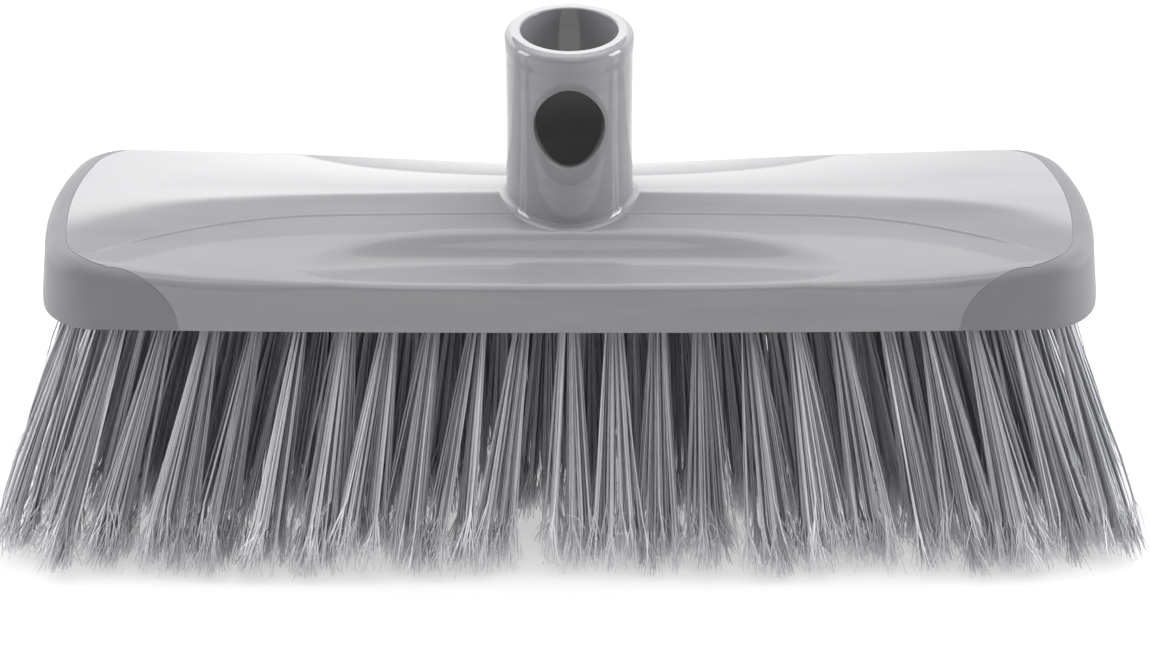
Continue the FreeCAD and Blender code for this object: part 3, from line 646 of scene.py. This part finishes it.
# --------------------------------------------------------------------------------------
# End bumpers
# --------------------------------------------------------------------------------------
BUMPERS = []
for side, name in ((-1, "left_bumper"), (1, "right_bumper")):
    idx = np.where(zone & (STRIP.o[:, 0] * side > 0))[0]
    # put the stations in order from one lobe, round the end, to the other
    u = U[idx]
    if side > 0:
        idx = idx[np.argsort(u)]
    else:
        idx = idx[np.argsort(u)]
    st = Strip(U[idx])
    ps = P_SEAM[idx]
    M = len(idx)
    dn = np.tile([0.0, 0.0, -1.0], (M, 1))
    nr = np.concatenate([st.n, np.zeros((M, 1))], -1)
    prof_p, prof_n = [], []

    def put(p, nrm):
        prof_p.append(p)
        prof_n.append(nrm)

    put(np.concatenate([st.o - st.n * 2.18, np.full((M, 1), RIM_Z)], -1), dn)
    for a in np.linspace(1, 0, 5):
        ang = a * 0.5 * math.pi
        d = math.tan(DRAFT) * 0.45 + 0.45 * (1 - math.cos(ang))
        z = RIM_Z + 0.45 * (1 - math.sin(ang))
        put(np.concatenate([st.o - st.n * d, np.full((M, 1), z)], -1),
            nr * math.cos(ang) - np.array([0, 0, 1.0]) * math.sin(ang))
    end_p = np.maximum(st.step(ps, -0.30), 0.3 * ps)
    for t in np.linspace(0, 1, 20)[1:]:
        a, b = st.at(end_p * t)
        put(a, b)
    sp, sn = st.at(ps)
    sp2, _ = st.at(ps + 0.004)
    gg = sp2 - sp
    gg /= np.maximum(np.linalg.norm(gg, axis=-1, keepdims=True), 1e-9)
    put(sp - gg * 0.12 - sn * 0.07, sn + gg * 0.4)
    put(sp + gg * 0.02 - sn * 0.17, sn + gg)
    put(sp + gg * 0.02 - sn * 1.0, gg)
    inner_top = sp + gg * 0.02 - sn * 1.0
    inner_low = prof_p[0]
    for t in (0.5, 1.0):
        a, b = st.at(ps * (1 - t))
        thick = 1.0 + 1.18 * t
        put(a - b * thick if t < 1 else inner_low, -b)
    bb = Builder()
    pp, pn_ = np.stack(prof_p, 1), np.stack(prof_n, 1)
    bb.grid(pp, pn_)
    for e in (0, M - 1):            # closed ends, at the points of the lobes
        ring_ = pp[e][:-1]
        mid_ = ring_.mean(0)
        out_ = np.sign(0.5 - (e > 0)) * (pp[1 if e == 0 else M - 2].mean(0) - pp[e].mean(0))
        out_ = -out_ if e == 0 else pp[e].mean(0) - pp[M - 2].mean(0)
        L_ = len(ring_)
        bb.add(np.concatenate([ring_, [mid_]]), np.tile(out_, (L_ + 1, 1)),
               [(i, (i + 1) % L_, L_) for i in range(L_)])
    BUMPERS.append(bb.make(name + "_skin"))

# --------------------------------------------------------------------------------------
# Bristles: one piece a row, each tuft a fan of fine filaments with split ends
# --------------------------------------------------------------------------------------
def tuft_row(row):
    """(root, tip) of each tuft of a row; rows -2..2 from front to back, as in the frame."""
    out = []
    n = 23 if row % 2 == 0 else 22
    for k in range(n):
        i = k - (n - 1) / 2.0
        tx, ty = i * 13.35, row * 22.3
        if abs(row) == 2:
            over = max(0.0, abs(tx) - 118.0)
            ty -= math.copysign(0.0075 * over * over, ty)
        else:
            tx += math.copysign(0.6 if row else 1.2, tx) * (abs(i) / 11.0) ** 4
        out.append((i, np.array([i * 11.2, row * 12.0, 67.2]), np.array([tx, ty, 0.0])))
    return out


def tubes(paths, radius, tone_and_painted_light, spin):
    """Three-sided closed tubes along paths (count, rings, 3) with radius and tone a ring; the tone also carries the
    painted tip light.
    """
    N, K, _ = paths.shape
    t = np.gradient(paths, axis=1)
    t /= np.maximum(np.linalg.norm(t, axis=-1, keepdims=True), 1e-9)
    ref = np.where(np.abs(t[..., 1:2]) > 0.92, np.array([1.0, 0, 0]), np.array([0, 1.0, 0]))
    a = np.cross(t, ref)
    a /= np.linalg.norm(a, axis=-1, keepdims=True)
    b = np.cross(t, a)
    ang = spin[:, None, None] + np.array([0, 2, 4]) * math.pi / 3
    ring = (a[:, :, None, :] * np.cos(ang)[..., None] + b[:, :, None, :] * np.sin(ang)[..., None])
    v = paths[:, :, None, :] + ring * radius[:, :, None, None]
    idx = np.arange(N * K * 3).reshape(N, K, 3)
    nxt = np.roll(idx, -1, axis=2)
    q = np.stack([idx[:, :-1], nxt[:, :-1], nxt[:, 1:], idx[:, 1:]], -1).reshape(-1, 4)
    caps = np.concatenate([idx[:, 0, ::-1], idx[:, -1, :]]).reshape(-1, 3)
    tones = np.repeat(tone_and_painted_light[:, :, None], 3, axis=2).reshape(-1)
    return v.reshape(-1, 3), q, caps, tones, ring.reshape(-1, 3)


def join_tubes(parts, name):
    vs, qs, cs, ts, ns, off = [], [], [], [], [], 0
    for v, q, c, t, n in parts:
        vs.append(v)
        qs.append(q + off)
        cs.append(c + off)
        ts.append(t)
        ns.append(n)
        off += len(v)
    v, q, c, t = np.concatenate(vs), np.concatenate(qs), np.concatenate(cs), np.concatenate(ts)
    me = bpy.data.meshes.new(name)
    me.vertices.add(len(v))
    me.vertices.foreach_set("co", (v * 0.001).astype(np.float32).ravel())
    me.loops.add(len(q) * 4 + len(c) * 3)
    me.loops.foreach_set("vertex_index", np.concatenate([q.ravel(), c.ravel()]).astype(np.int32))
    me.polygons.add(len(q) + len(c))
    starts = np.concatenate([np.arange(len(q)) * 4, len(q) * 4 + np.arange(len(c)) * 3])
    me.polygons.foreach_set("loop_start", starts.astype(np.int32))
    me.update(calc_edges=True)
    me.validate()
    me.polygons.foreach_set("use_smooth", np.ones(len(me.polygons), bool))
    at = me.attributes.new("tone_and_painted_light", "FLOAT", "POINT")
    at.data.foreach_set("value", t.astype(np.float32))
    me.update()
    ob = bpy.data.objects.new(name, me)
    scene.collection.objects.link(ob)
    return ob


LEAN = {-1: -6.0, -2: -4.6, -3: -2.6, -4: -1.0, 1: -1.2, 2: -3.2, 3: -2.6, 4: -1.0}


def bristle_row(row, name, per_tuft, rings, flags):
    rng = np.random.default_rng(4100 + row)
    paths, radii, tones, hair, hair_r, hair_tone_painted_light = [], [], [], [], [], []
    tt = np.linspace(-0.075, 1.0, rings)
    for i, root, tip in tuft_row(row):
        lean = rng.normal(0, 1.0, 2) * np.array([1.3, 0.8])
        if row == -2:
            lean[0] = 0.5 * lean[0] + LEAN.get(int(i), 0.0)
        if abs(i) > 9.5:
            lean[0] = -abs(lean[0]) * 0.4 * np.sign(i)
        tip = tip + np.array([lean[0], lean[1], 0.0])
        lift = abs(rng.normal(0, 0.8)) + 0.3
        fan = rng.uniform(3.5, 3.9)
        strands = 17
        sa, sr = rng.uniform(0, 2 * math.pi, strands), np.sqrt((np.arange(strands) + 0.5) / strands) * 1.85
        s_off = np.stack([sr * np.cos(sa), sr * np.sin(sa)], -1)
        s_jit = rng.normal(0, 0.8, (strands, 2))
        s_tone = np.clip(rng.normal(0.93, 0.24, strands), 0.50, 1.5) * (1.0 if abs(row) == 2 else 1.0)
        which = rng.integers(0, strands, per_tuft)
        base = s_off[which] + rng.normal(0, 0.15, (per_tuft, 2))
        rr = np.linalg.norm(base, axis=-1, keepdims=True)
        base = base * np.minimum(1.0, 2.0 / np.maximum(rr, 1e-6))
        ends = s_off[which] * fan + s_jit[which] + rng.normal(0, 0.42, (per_tuft, 2))
        wild = rng.random(per_tuft) < 0.035
        ends[wild] += rng.normal(0, 2.6, (wild.sum(), 2))
        er = np.linalg.norm(ends, axis=-1)
        zt = lift + 0.024 * np.minimum(er, 8) ** 2 + rng.uniform(0, 1.7, per_tuft)
        short = rng.random(per_tuft) < 0.05
        zt = zt + short * rng.uniform(2, 9, per_tuft)
        a = np.concatenate([base, np.zeros((per_tuft, 1))], -1) + root
        b = np.stack([tip[0] + ends[:, 0], tip[1] + ends[:, 1] * 1.05, zt], -1)
        t3 = tt[None, :, None]
        grow = np.where(tt > 0, tt, tt)
        p = a[:, None] + (b - a)[:, None] * grow[None, :, None]
        # a filament is straight in its hole and bows a little on the way down
        bow = rng.normal(0, 0.16, (per_tuft, 2)) * (1 + 2.2 * wild[:, None])
        w = np.sin(np.clip(tt, 0, 1) * math.pi)
        kink = rng.normal(0, 0.03, (per_tuft, 2))
        w2 = np.sin(np.clip(tt, 0, 1) * 2.6 * math.pi + rng.uniform(0, 6.28, (per_tuft, 1))) * np.clip(tt, 0, 1)
        flare = rng.normal(0, 1.6, (per_tuft, 2))
        w3 = np.clip((tt - 0.82) / 0.18, 0, 1) ** 2
        p[..., :2] += bow[:, None] * w[None, :, None] + kink[:, None] * w2[..., None] + \
            flare[:, None] * w3[None, :, None]
        over = np.maximum(np.abs(p[..., 0]) - 143.0, 0.0)
        p[..., 0] = np.sign(p[..., 0]) * (np.minimum(np.abs(p[..., 0]), 143.0) + 10.0 * np.tanh(over / 11.0))
        p[..., 1] = np.clip(p[..., 1], -52.6, 52.6)
        paths.append(p)
        r = rng.uniform(0.21, 0.31, per_tuft) * (1.0 if abs(row) == 2 else 1.35)
        taper = np.interp(tt, [-0.1, 0.8, 0.92, 1.0], [1, 1, 0.72, 0.38])
        radii.append(r[:, None] * taper[None, :])
        tn = s_tone[which] * np.clip(rng.normal(1, 0.07, per_tuft), 0.8, 1.2)
        # painted light: each filament's tone rises towards the tip, for floor light on the ends and shade at the
        # roots
        painted_tip_light = 0.95 + 0.82 * smooth(0.76, 1.0, tt)
        tones.append(tn[:, None] * painted_tip_light[None, :])
        # split ends
        if flags:
            for _ in range(flags):
                s0 = rng.uniform(0.80, 0.92, per_tuft)
                start = np.stack([[np.interp(s, tt, p[m, :, c]) for c in range(3)]
                                  for m, s in enumerate(s0)])
                end = p[:, -1] + np.concatenate([rng.normal(0, 1.6, (per_tuft, 2)),
                                                 rng.uniform(-0.6, 1.2, (per_tuft, 1))], -1)
                end[:, 2] = np.maximum(end[:, 2], 0.12)
                end[:, 0] = np.clip(end[:, 0], -154.5, 154.5)
                end[:, 1] = np.clip(end[:, 1], -52.9, 52.9)
                midp = 0.5 * (start + end) + rng.normal(0, 0.42, (per_tuft, 3))
                u = np.linspace(0, 1, 4)[None, :, None]
                hp = (1 - u) ** 2 * start[:, None] + 2 * u * (1 - u) * midp[:, None] + u * u * end[:, None]
                hair.append(hp)
                hair_r.append(np.repeat(np.array([[0.13, 0.12, 0.10, 0.06]]), per_tuft, 0))
                # painted light: the split-end hairs get the pale tip tone
                hair_tone_painted_light.append(np.repeat(tn[:, None] * 1.6, 4, 1))
    paths, radii, tones = np.concatenate(paths), np.concatenate(radii), np.concatenate(tones)
    parts = [tubes(paths, radii, tones, rng.uniform(0, 6.28, len(paths)))]
    if hair:
        hp, hr, ht = np.concatenate(hair), np.concatenate(hair_r), np.concatenate(hair_tone_painted_light)
        parts.append(tubes(hp, hr, ht, rng.uniform(0, 6.28, len(hp))))
    # a few loose curled hairs, drawn in a pale tone that is painted light like the tips
    curls = []
    for _ in range(10 if abs(row) == 2 else 2):
        i, root, tip = tuft_row(row)[rng.integers(0, 22)]
        s = rng.uniform(0.72, 0.95)
        o_ = root + (tip - root) * s
        o_[1] += np.sign(row) * rng.uniform(3.5, 5.5) if row else 0
        o_[0] += rng.normal(0, 4)
        u = np.linspace(0, 1, 14)
        R_ = rng.uniform(2.0, 5.5)
        sweep, ph = rng.uniform(1.2, 3.6), rng.uniform(0, 6.28)
        arc = ph + sweep * u
        dx, dz = R_ * (1 + 0.6 * u) * np.cos(arc), R_ * (1 + 0.4 * u) * np.sin(arc)
        c = np.stack([o_[0] + dx - dx[0], o_[1] + 0.8 * np.sin(u * 3) * np.sign(row or 1),
                      np.maximum(o_[2] + dz - dz[0], 0.4)], -1)
        curls.append(c)
    curls = np.array(curls)
    parts.append(tubes(curls, np.full(curls.shape[:2], 0.10), np.full(curls.shape[:2], 1.45),
                       rng.uniform(0, 6.28, len(curls))))
    return join_tubes(parts, name)


ROWS = [(-2, "front_row"), (-1, "front_inner_row"), (0, "middle_row"), (1, "back_inner_row"),
        (2, "back_row")]
BRISTLES = []
for row, name in ROWS:
    edge_row = abs(row) == 2
    ob = bristle_row(row, name + "_bristles", 104 if edge_row else 84, 7 if edge_row else 6, 2)
    BRISTLES.append((ob, name + "_tufts"))


# --------------------------------------------------------------------------------------
# Materials
# --------------------------------------------------------------------------------------
def material(name):
    m = bpy.data.materials.new(name)
    m.use_nodes = True
    t = m.node_tree
    return m, t, t.nodes["Principled BSDF"]


def node(t, kind, **kw):
    n = t.nodes.new(kind)
    for k, v in kw.items():
        if k in n.inputs:
            n.inputs[k].default_value = v
        else:
            setattr(n, k, v)
    return n


def coords(t, scale=(1, 1, 1)):
    tc = node(t, "ShaderNodeTexCoord")
    mp = node(t, "ShaderNodeMapping")
    mp.inputs["Scale"].default_value = scale
    t.links.new(tc.outputs["Object"], mp.inputs["Vector"])
    return mp.outputs["Vector"]


def ramp(t, src, stops):
    r = node(t, "ShaderNodeValToRGB")
    e = r.color_ramp.elements
    while len(e) < len(stops):
        e.new(0.5)
    for k, (p, c) in enumerate(stops):
        e[k].position = p
        e[k].color = (*c, 1.0)
    t.links.new(src, r.inputs["Fac"])
    return r.outputs["Color"]


def noise(t, vec, scale, detail=3.0, rough=0.5, dist=0.0):
    n = node(t, "ShaderNodeTexNoise")
    n.inputs["Scale"].default_value = scale
    n.inputs["Detail"].default_value = detail
    n.inputs["Roughness"].default_value = rough
    n.inputs["Distortion"].default_value = dist
    t.links.new(vec, n.inputs["Vector"])
    return n.outputs["Fac"]


def rough_from(t, bsdf, src, a, b, lo_=0.3, hi_=0.7):
    m = node(t, "ShaderNodeMapRange")
    for k, v in (("From Min", lo_), ("From Max", hi_), ("To Min", a), ("To Max", b)):
        m.inputs[k].default_value = v
    t.links.new(src, m.inputs["Value"])
    t.links.new(m.outputs["Result"], bsdf.inputs["Roughness"])


def bump(t, bsdf, srcs):
    last = None
    for src, strength, dist in srcs:
        b = node(t, "ShaderNodeBump")
        b.inputs["Strength"].default_value = strength
        b.inputs["Distance"].default_value = dist
        t.links.new(src, b.inputs["Height"])
        if last is not None:
            t.links.new(last, b.inputs["Normal"])
        last = b.outputs["Normal"]
    t.links.new(last, bsdf.inputs["Normal"])


def grey(v, blue=0.0):
    return (v * (1 - 0.3 * blue), v * (1 - 0.15 * blue), v * (1 + blue))


# glossy moulded polypropylene: faint flow marks along the head and a slight ripple; the same noise varies roughness
# and also mottles the base colour as painted reflection of the rippled surface
GLOSS, t, bs = material("gloss_cover")
flow_and_painted_reflection = noise(t, coords(t, (9, 40, 90)), 1.0, 4.0, 0.55, 0.6)
fine = noise(t, coords(t, (1, 1, 1)), 900.0, 2.0)
# painted reflection: base colour mottled by the flow noise, standing in for reflections in the rippled surface
t.links.new(ramp(t, flow_and_painted_reflection, [(0.30, grey(0.228, 0.035)), (0.52, grey(0.256, 0.03)),
                           (0.72, grey(0.276, 0.02))]), bs.inputs["Base Color"])
rough_from(t, bs, flow_and_painted_reflection, 0.045, 0.085)
ripple = noise(t, coords(t, (14, 20, 60)), 1.0, 2.0, 0.5, 0.3)
bump(t, bs, [(ripple, 0.25, 0.0004), (fine, 0.04, 0.00003)])
bs.inputs["IOR"].default_value = 1.49

# matt soft-touch rubber with a spark-eroded grain
RUBBER, t, bs = material("soft_bumper")
cl = noise(t, coords(t), 60.0, 3.0)
grain = noise(t, coords(t), 2600.0, 2.0, 0.6)
t.links.new(ramp(t, cl, [(0.3, grey(0.182, 0.05)), (0.7, grey(0.205, 0.045))]), bs.inputs["Base Color"])
rough_from(t, bs, grain, 0.50, 0.66)
bump(t, bs, [(grain, 0.35, 0.00006)])
bs.inputs["IOR"].default_value = 1.47
bs.inputs["Sheen Weight"].default_value = 0.08
bs.inputs["Sheen Roughness"].default_value = 0.5

# satin tuft board with sink marks and a tooled grain
BOARD, t, bs = material("board_plastic")
cl = noise(t, coords(t), 35.0, 4.0)
grain = noise(t, coords(t, (1, 1, 1)), 1500.0, 2.0, 0.6)
t.links.new(ramp(t, cl, [(0.3, grey(0.20, 0.03)), (0.7, grey(0.235, 0.02))]), bs.inputs["Base Color"])
rough_from(t, bs, grain, 0.34, 0.48)
bump(t, bs, [(cl, 0.2, 0.0002), (grain, 0.25, 0.00004)])

# crimped polyester filament: each one a little lighter or darker at random; the paler tips, split ends and curls
# are painted light, standing in for floor light on the ends and shade at the roots under the head
FIBRE, t, bs = material("bristle")
att = node(t, "ShaderNodeAttribute", attribute_name="tone_and_painted_light")
geo = node(t, "ShaderNodeNewGeometry")
mul = node(t, "ShaderNodeMath", operation="MULTIPLY_ADD")
mul.inputs[1].default_value = 0.14
mul.inputs[2].default_value = -0.07
t.links.new(geo.outputs["Random Per Island"], mul.inputs[0])
addn = node(t, "ShaderNodeMath", operation="ADD")
t.links.new(att.outputs["Fac"], addn.inputs[0])
t.links.new(mul.outputs[0], addn.inputs[1])
streak = noise(t, coords(t, (900, 900, 60)), 1.0, 2.0)
mad = node(t, "ShaderNodeMath", operation="MULTIPLY_ADD")
mad.inputs[1].default_value = 0.22
mad.inputs[2].default_value = -0.11
t.links.new(streak, mad.inputs[0])
add2 = node(t, "ShaderNodeMath", operation="ADD")
t.links.new(addn.outputs[0], add2.inputs[0])
t.links.new(mad.outputs[0], add2.inputs[1])
mr = node(t, "ShaderNodeMapRange")
for k, v in (("From Min", 0.5), ("From Max", 1.9), ("To Min", 0.0), ("To Max", 1.0)):
    mr.inputs[k].default_value = v
t.links.new(add2.outputs[0], mr.inputs["Value"])
t.links.new(ramp(t, mr.outputs["Result"], [(0.0, grey(0.27, 0.07)), (0.36, grey(0.57, 0.05)),
                                           (1.0, grey(0.92, 0.02))]), bs.inputs["Base Color"])
rough_from(t, bs, streak, 0.28, 0.46)
bs.inputs["IOR"].default_value = 1.5

# drawn steel: wire anchors and screws
WIRE, t, bs = material("wire")
d = noise(t, coords(t, (300, 300, 4000)), 1.0, 3.0)
t.links.new(ramp(t, d, [(0.3, grey(0.46)), (0.7, grey(0.60))]), bs.inputs["Base Color"])
bs.inputs["Metallic"].default_value = 1.0
rough_from(t, bs, d, 0.25, 0.42)
bump(t, bs, [(d, 0.2, 0.00003)])
SCREW, t, bs = material("screw_steel")
d = noise(t, coords(t, (1, 1, 1)), 1400.0, 4.0)
t.links.new(ramp(t, d, [(0.3, grey(0.48)), (0.7, grey(0.66, 0.02))]), bs.inputs["Base Color"])
bs.inputs["Metallic"].default_value = 1.0
rough_from(t, bs, d, 0.22, 0.40)
bump(t, bs, [(d, 0.15, 0.00003)])


def dress(ob, mat):
    ob.data.materials.clear()
    ob.data.materials.append(mat)


dress(COVER, GLOSS)
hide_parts("cover_shell")
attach(COVER, "root")
for ob, nm in zip(BUMPERS, ("left_bumper", "right_bumper")):
    dress(ob, RUBBER)
    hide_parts(nm)
    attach(ob, "root")
for ob, nm in BRISTLES:
    dress(ob, FIBRE)
    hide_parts(nm)
    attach(ob, "root")
for nm, ob in NODES.items():
    mat = BOARD if nm == "tuft_board" else WIRE if nm.endswith("_anchors") else \
        SCREW if nm == "board_screws" else None
    if mat is not None:
        for k in range(len(ob.material_slots)):
            ob.material_slots[k].material = mat

# --------------------------------------------------------------------------------------
# Floor, light and camera
# --------------------------------------------------------------------------------------
fl = bpy.data.meshes.new("floor")
S = 6.0
fl.from_pydata([(-S, -S, 0), (S, -S, 0), (S, S, 0), (-S, S, 0)], [], [(0, 1, 2, 3)])
floor = bpy.data.objects.new("floor", fl)
floor.location = (0, 0, -0.0006)
scene.collection.objects.link(floor)
FM, t, bs = material("floor_pale")
bs.inputs["Base Color"].default_value = (0.44, 0.44, 0.442, 1)
bs.inputs["Emission Color"].default_value = (1, 1, 1, 1)
bs.inputs["Emission Strength"].default_value = 0.46
bs.inputs["Roughness"].default_value = 0.9
bs.inputs["Specular IOR Level"].default_value = 0.1
floor.data.materials.append(FM)


def softbox(name, loc, look, sx, sy, power, colour=(1, 1, 1)):
    l = bpy.data.lights.new(name, "AREA")
    l.shape = "RECTANGLE"
    l.size, l.size_y = sx, sy
    l.energy = power
    l.color = colour
    o_ = bpy.data.objects.new(name, l)
    scene.collection.objects.link(o_)
    o_.location = loc
    o_.rotation_euler = (Vector(look) - Vector(loc)).to_track_quat("-Z", "Y").to_euler()
    return o_


softbox("left_box", (-1.7, -0.1, 0.6), (0, 0, 0.08), 0.7, 0.9, 15.5)
softbox("right_box", (1.7, -0.1, 0.6), (0, 0, 0.08), 0.7, 0.9, 21.0)
softbox("front_box", (0.2, -1.5, 1.9), (0, 0, 0.05), 1.2, 0.8, 4.2)
softbox("top_box", (0.0, 0.35, 2.2), (0, 0, 0.05), 2.6, 1.8, 20.0)

# studio dome: bright card low behind the object, softer overhead, dim towards the front
world = bpy.data.worlds.new("studio")
scene.world = world
world.use_nodes = True
wt = world.node_tree
bg = wt.nodes["Background"]
wc = wt.nodes.new("ShaderNodeTexCoord")
sep = wt.nodes.new("ShaderNodeSeparateXYZ")
wt.links.new(wc.outputs["Generated"], sep.inputs[0])


def wramp(src, a, b, stops):
    m = wt.nodes.new("ShaderNodeMapRange")
    m.inputs["From Min"].default_value, m.inputs["From Max"].default_value = a, b
    wt.links.new(src, m.inputs["Value"])
    r = wt.nodes.new("ShaderNodeValToRGB")
    e = r.color_ramp.elements
    while len(e) < len(stops):
        e.new(0.5)
    for k, (p, c) in enumerate(stops):
        e[k].position, e[k].color = p, (c, c, c, 1)
    wt.links.new(m.outputs["Result"], r.inputs["Fac"])
    return r.outputs["Color"]


def wmath(op, a, b):
    n = wt.nodes.new("ShaderNodeVectorMath")
    n.operation = op
    for k, v in enumerate((a, b)):
        if isinstance(v, (tuple, list)):
            n.inputs[k].default_value = v
        else:
            wt.links.new(v, n.inputs[k])
    return n.outputs["Vector"]


SKY_GAIN, CARD_GAIN = 3.0, 4.9
sky = wramp(sep.outputs["Z"], 0.0, 1.0,
            [(0.0, 0.10), (0.50, 0.10), (0.555, 0.12), (0.60, 0.26), (0.78, 0.42), (1.0, 0.72)])
side = wramp(sep.outputs["Y"], -1.0, 1.0, [(0.10, 0.30), (0.58, 1.0)])
card = wramp(sep.outputs["Z"], 0.0, 1.0, [(0.0, 0.45), (0.30, 0.60), (0.485, 1.0), (0.502, 0.0)])
where = wramp(sep.outputs["Y"], -1.0, 1.0, [(0.60, 0.0), (0.72, 1.0)])
sky = wmath("MULTIPLY", wmath("MULTIPLY", sky, side), (SKY_GAIN,) * 3)
across = wramp(sep.outputs["X"], -1.0, 1.0,
               [(0.375, 0.80), (0.415, 1.0), (0.5, 0.88), (0.585, 0.66), (0.625, 0.54)])
card = wmath("MULTIPLY", wmath("MULTIPLY", card, where), across)
card = wmath("MULTIPLY", card, (CARD_GAIN,) * 3)
wt.links.new(wmath("ADD", sky, card), bg.inputs["Color"])
bg.inputs["Strength"].default_value = 1.0

scene.view_settings.view_transform = "Standard"
scene.view_settings.look = "None"
scene.view_settings.exposure = 0.0
scene.view_settings.gamma = 1.0

cam = bpy.data.cameras.new("camera")
cam.lens, cam.sensor_width = 72.7, 36.0
cam.clip_start, cam.clip_end = 0.01, 30.0
cam.dof.use_dof = False
camera = bpy.data.objects.new("camera", cam)
scene.collection.objects.link(camera)
camera.location = (0.0014, -0.5202, 0.3815)
camera.rotation_euler = (Vector((0.0014, 0.0, 0.04405)) - camera.location).to_track_quat("-Z", "Y").to_euler()
scene.camera = camera
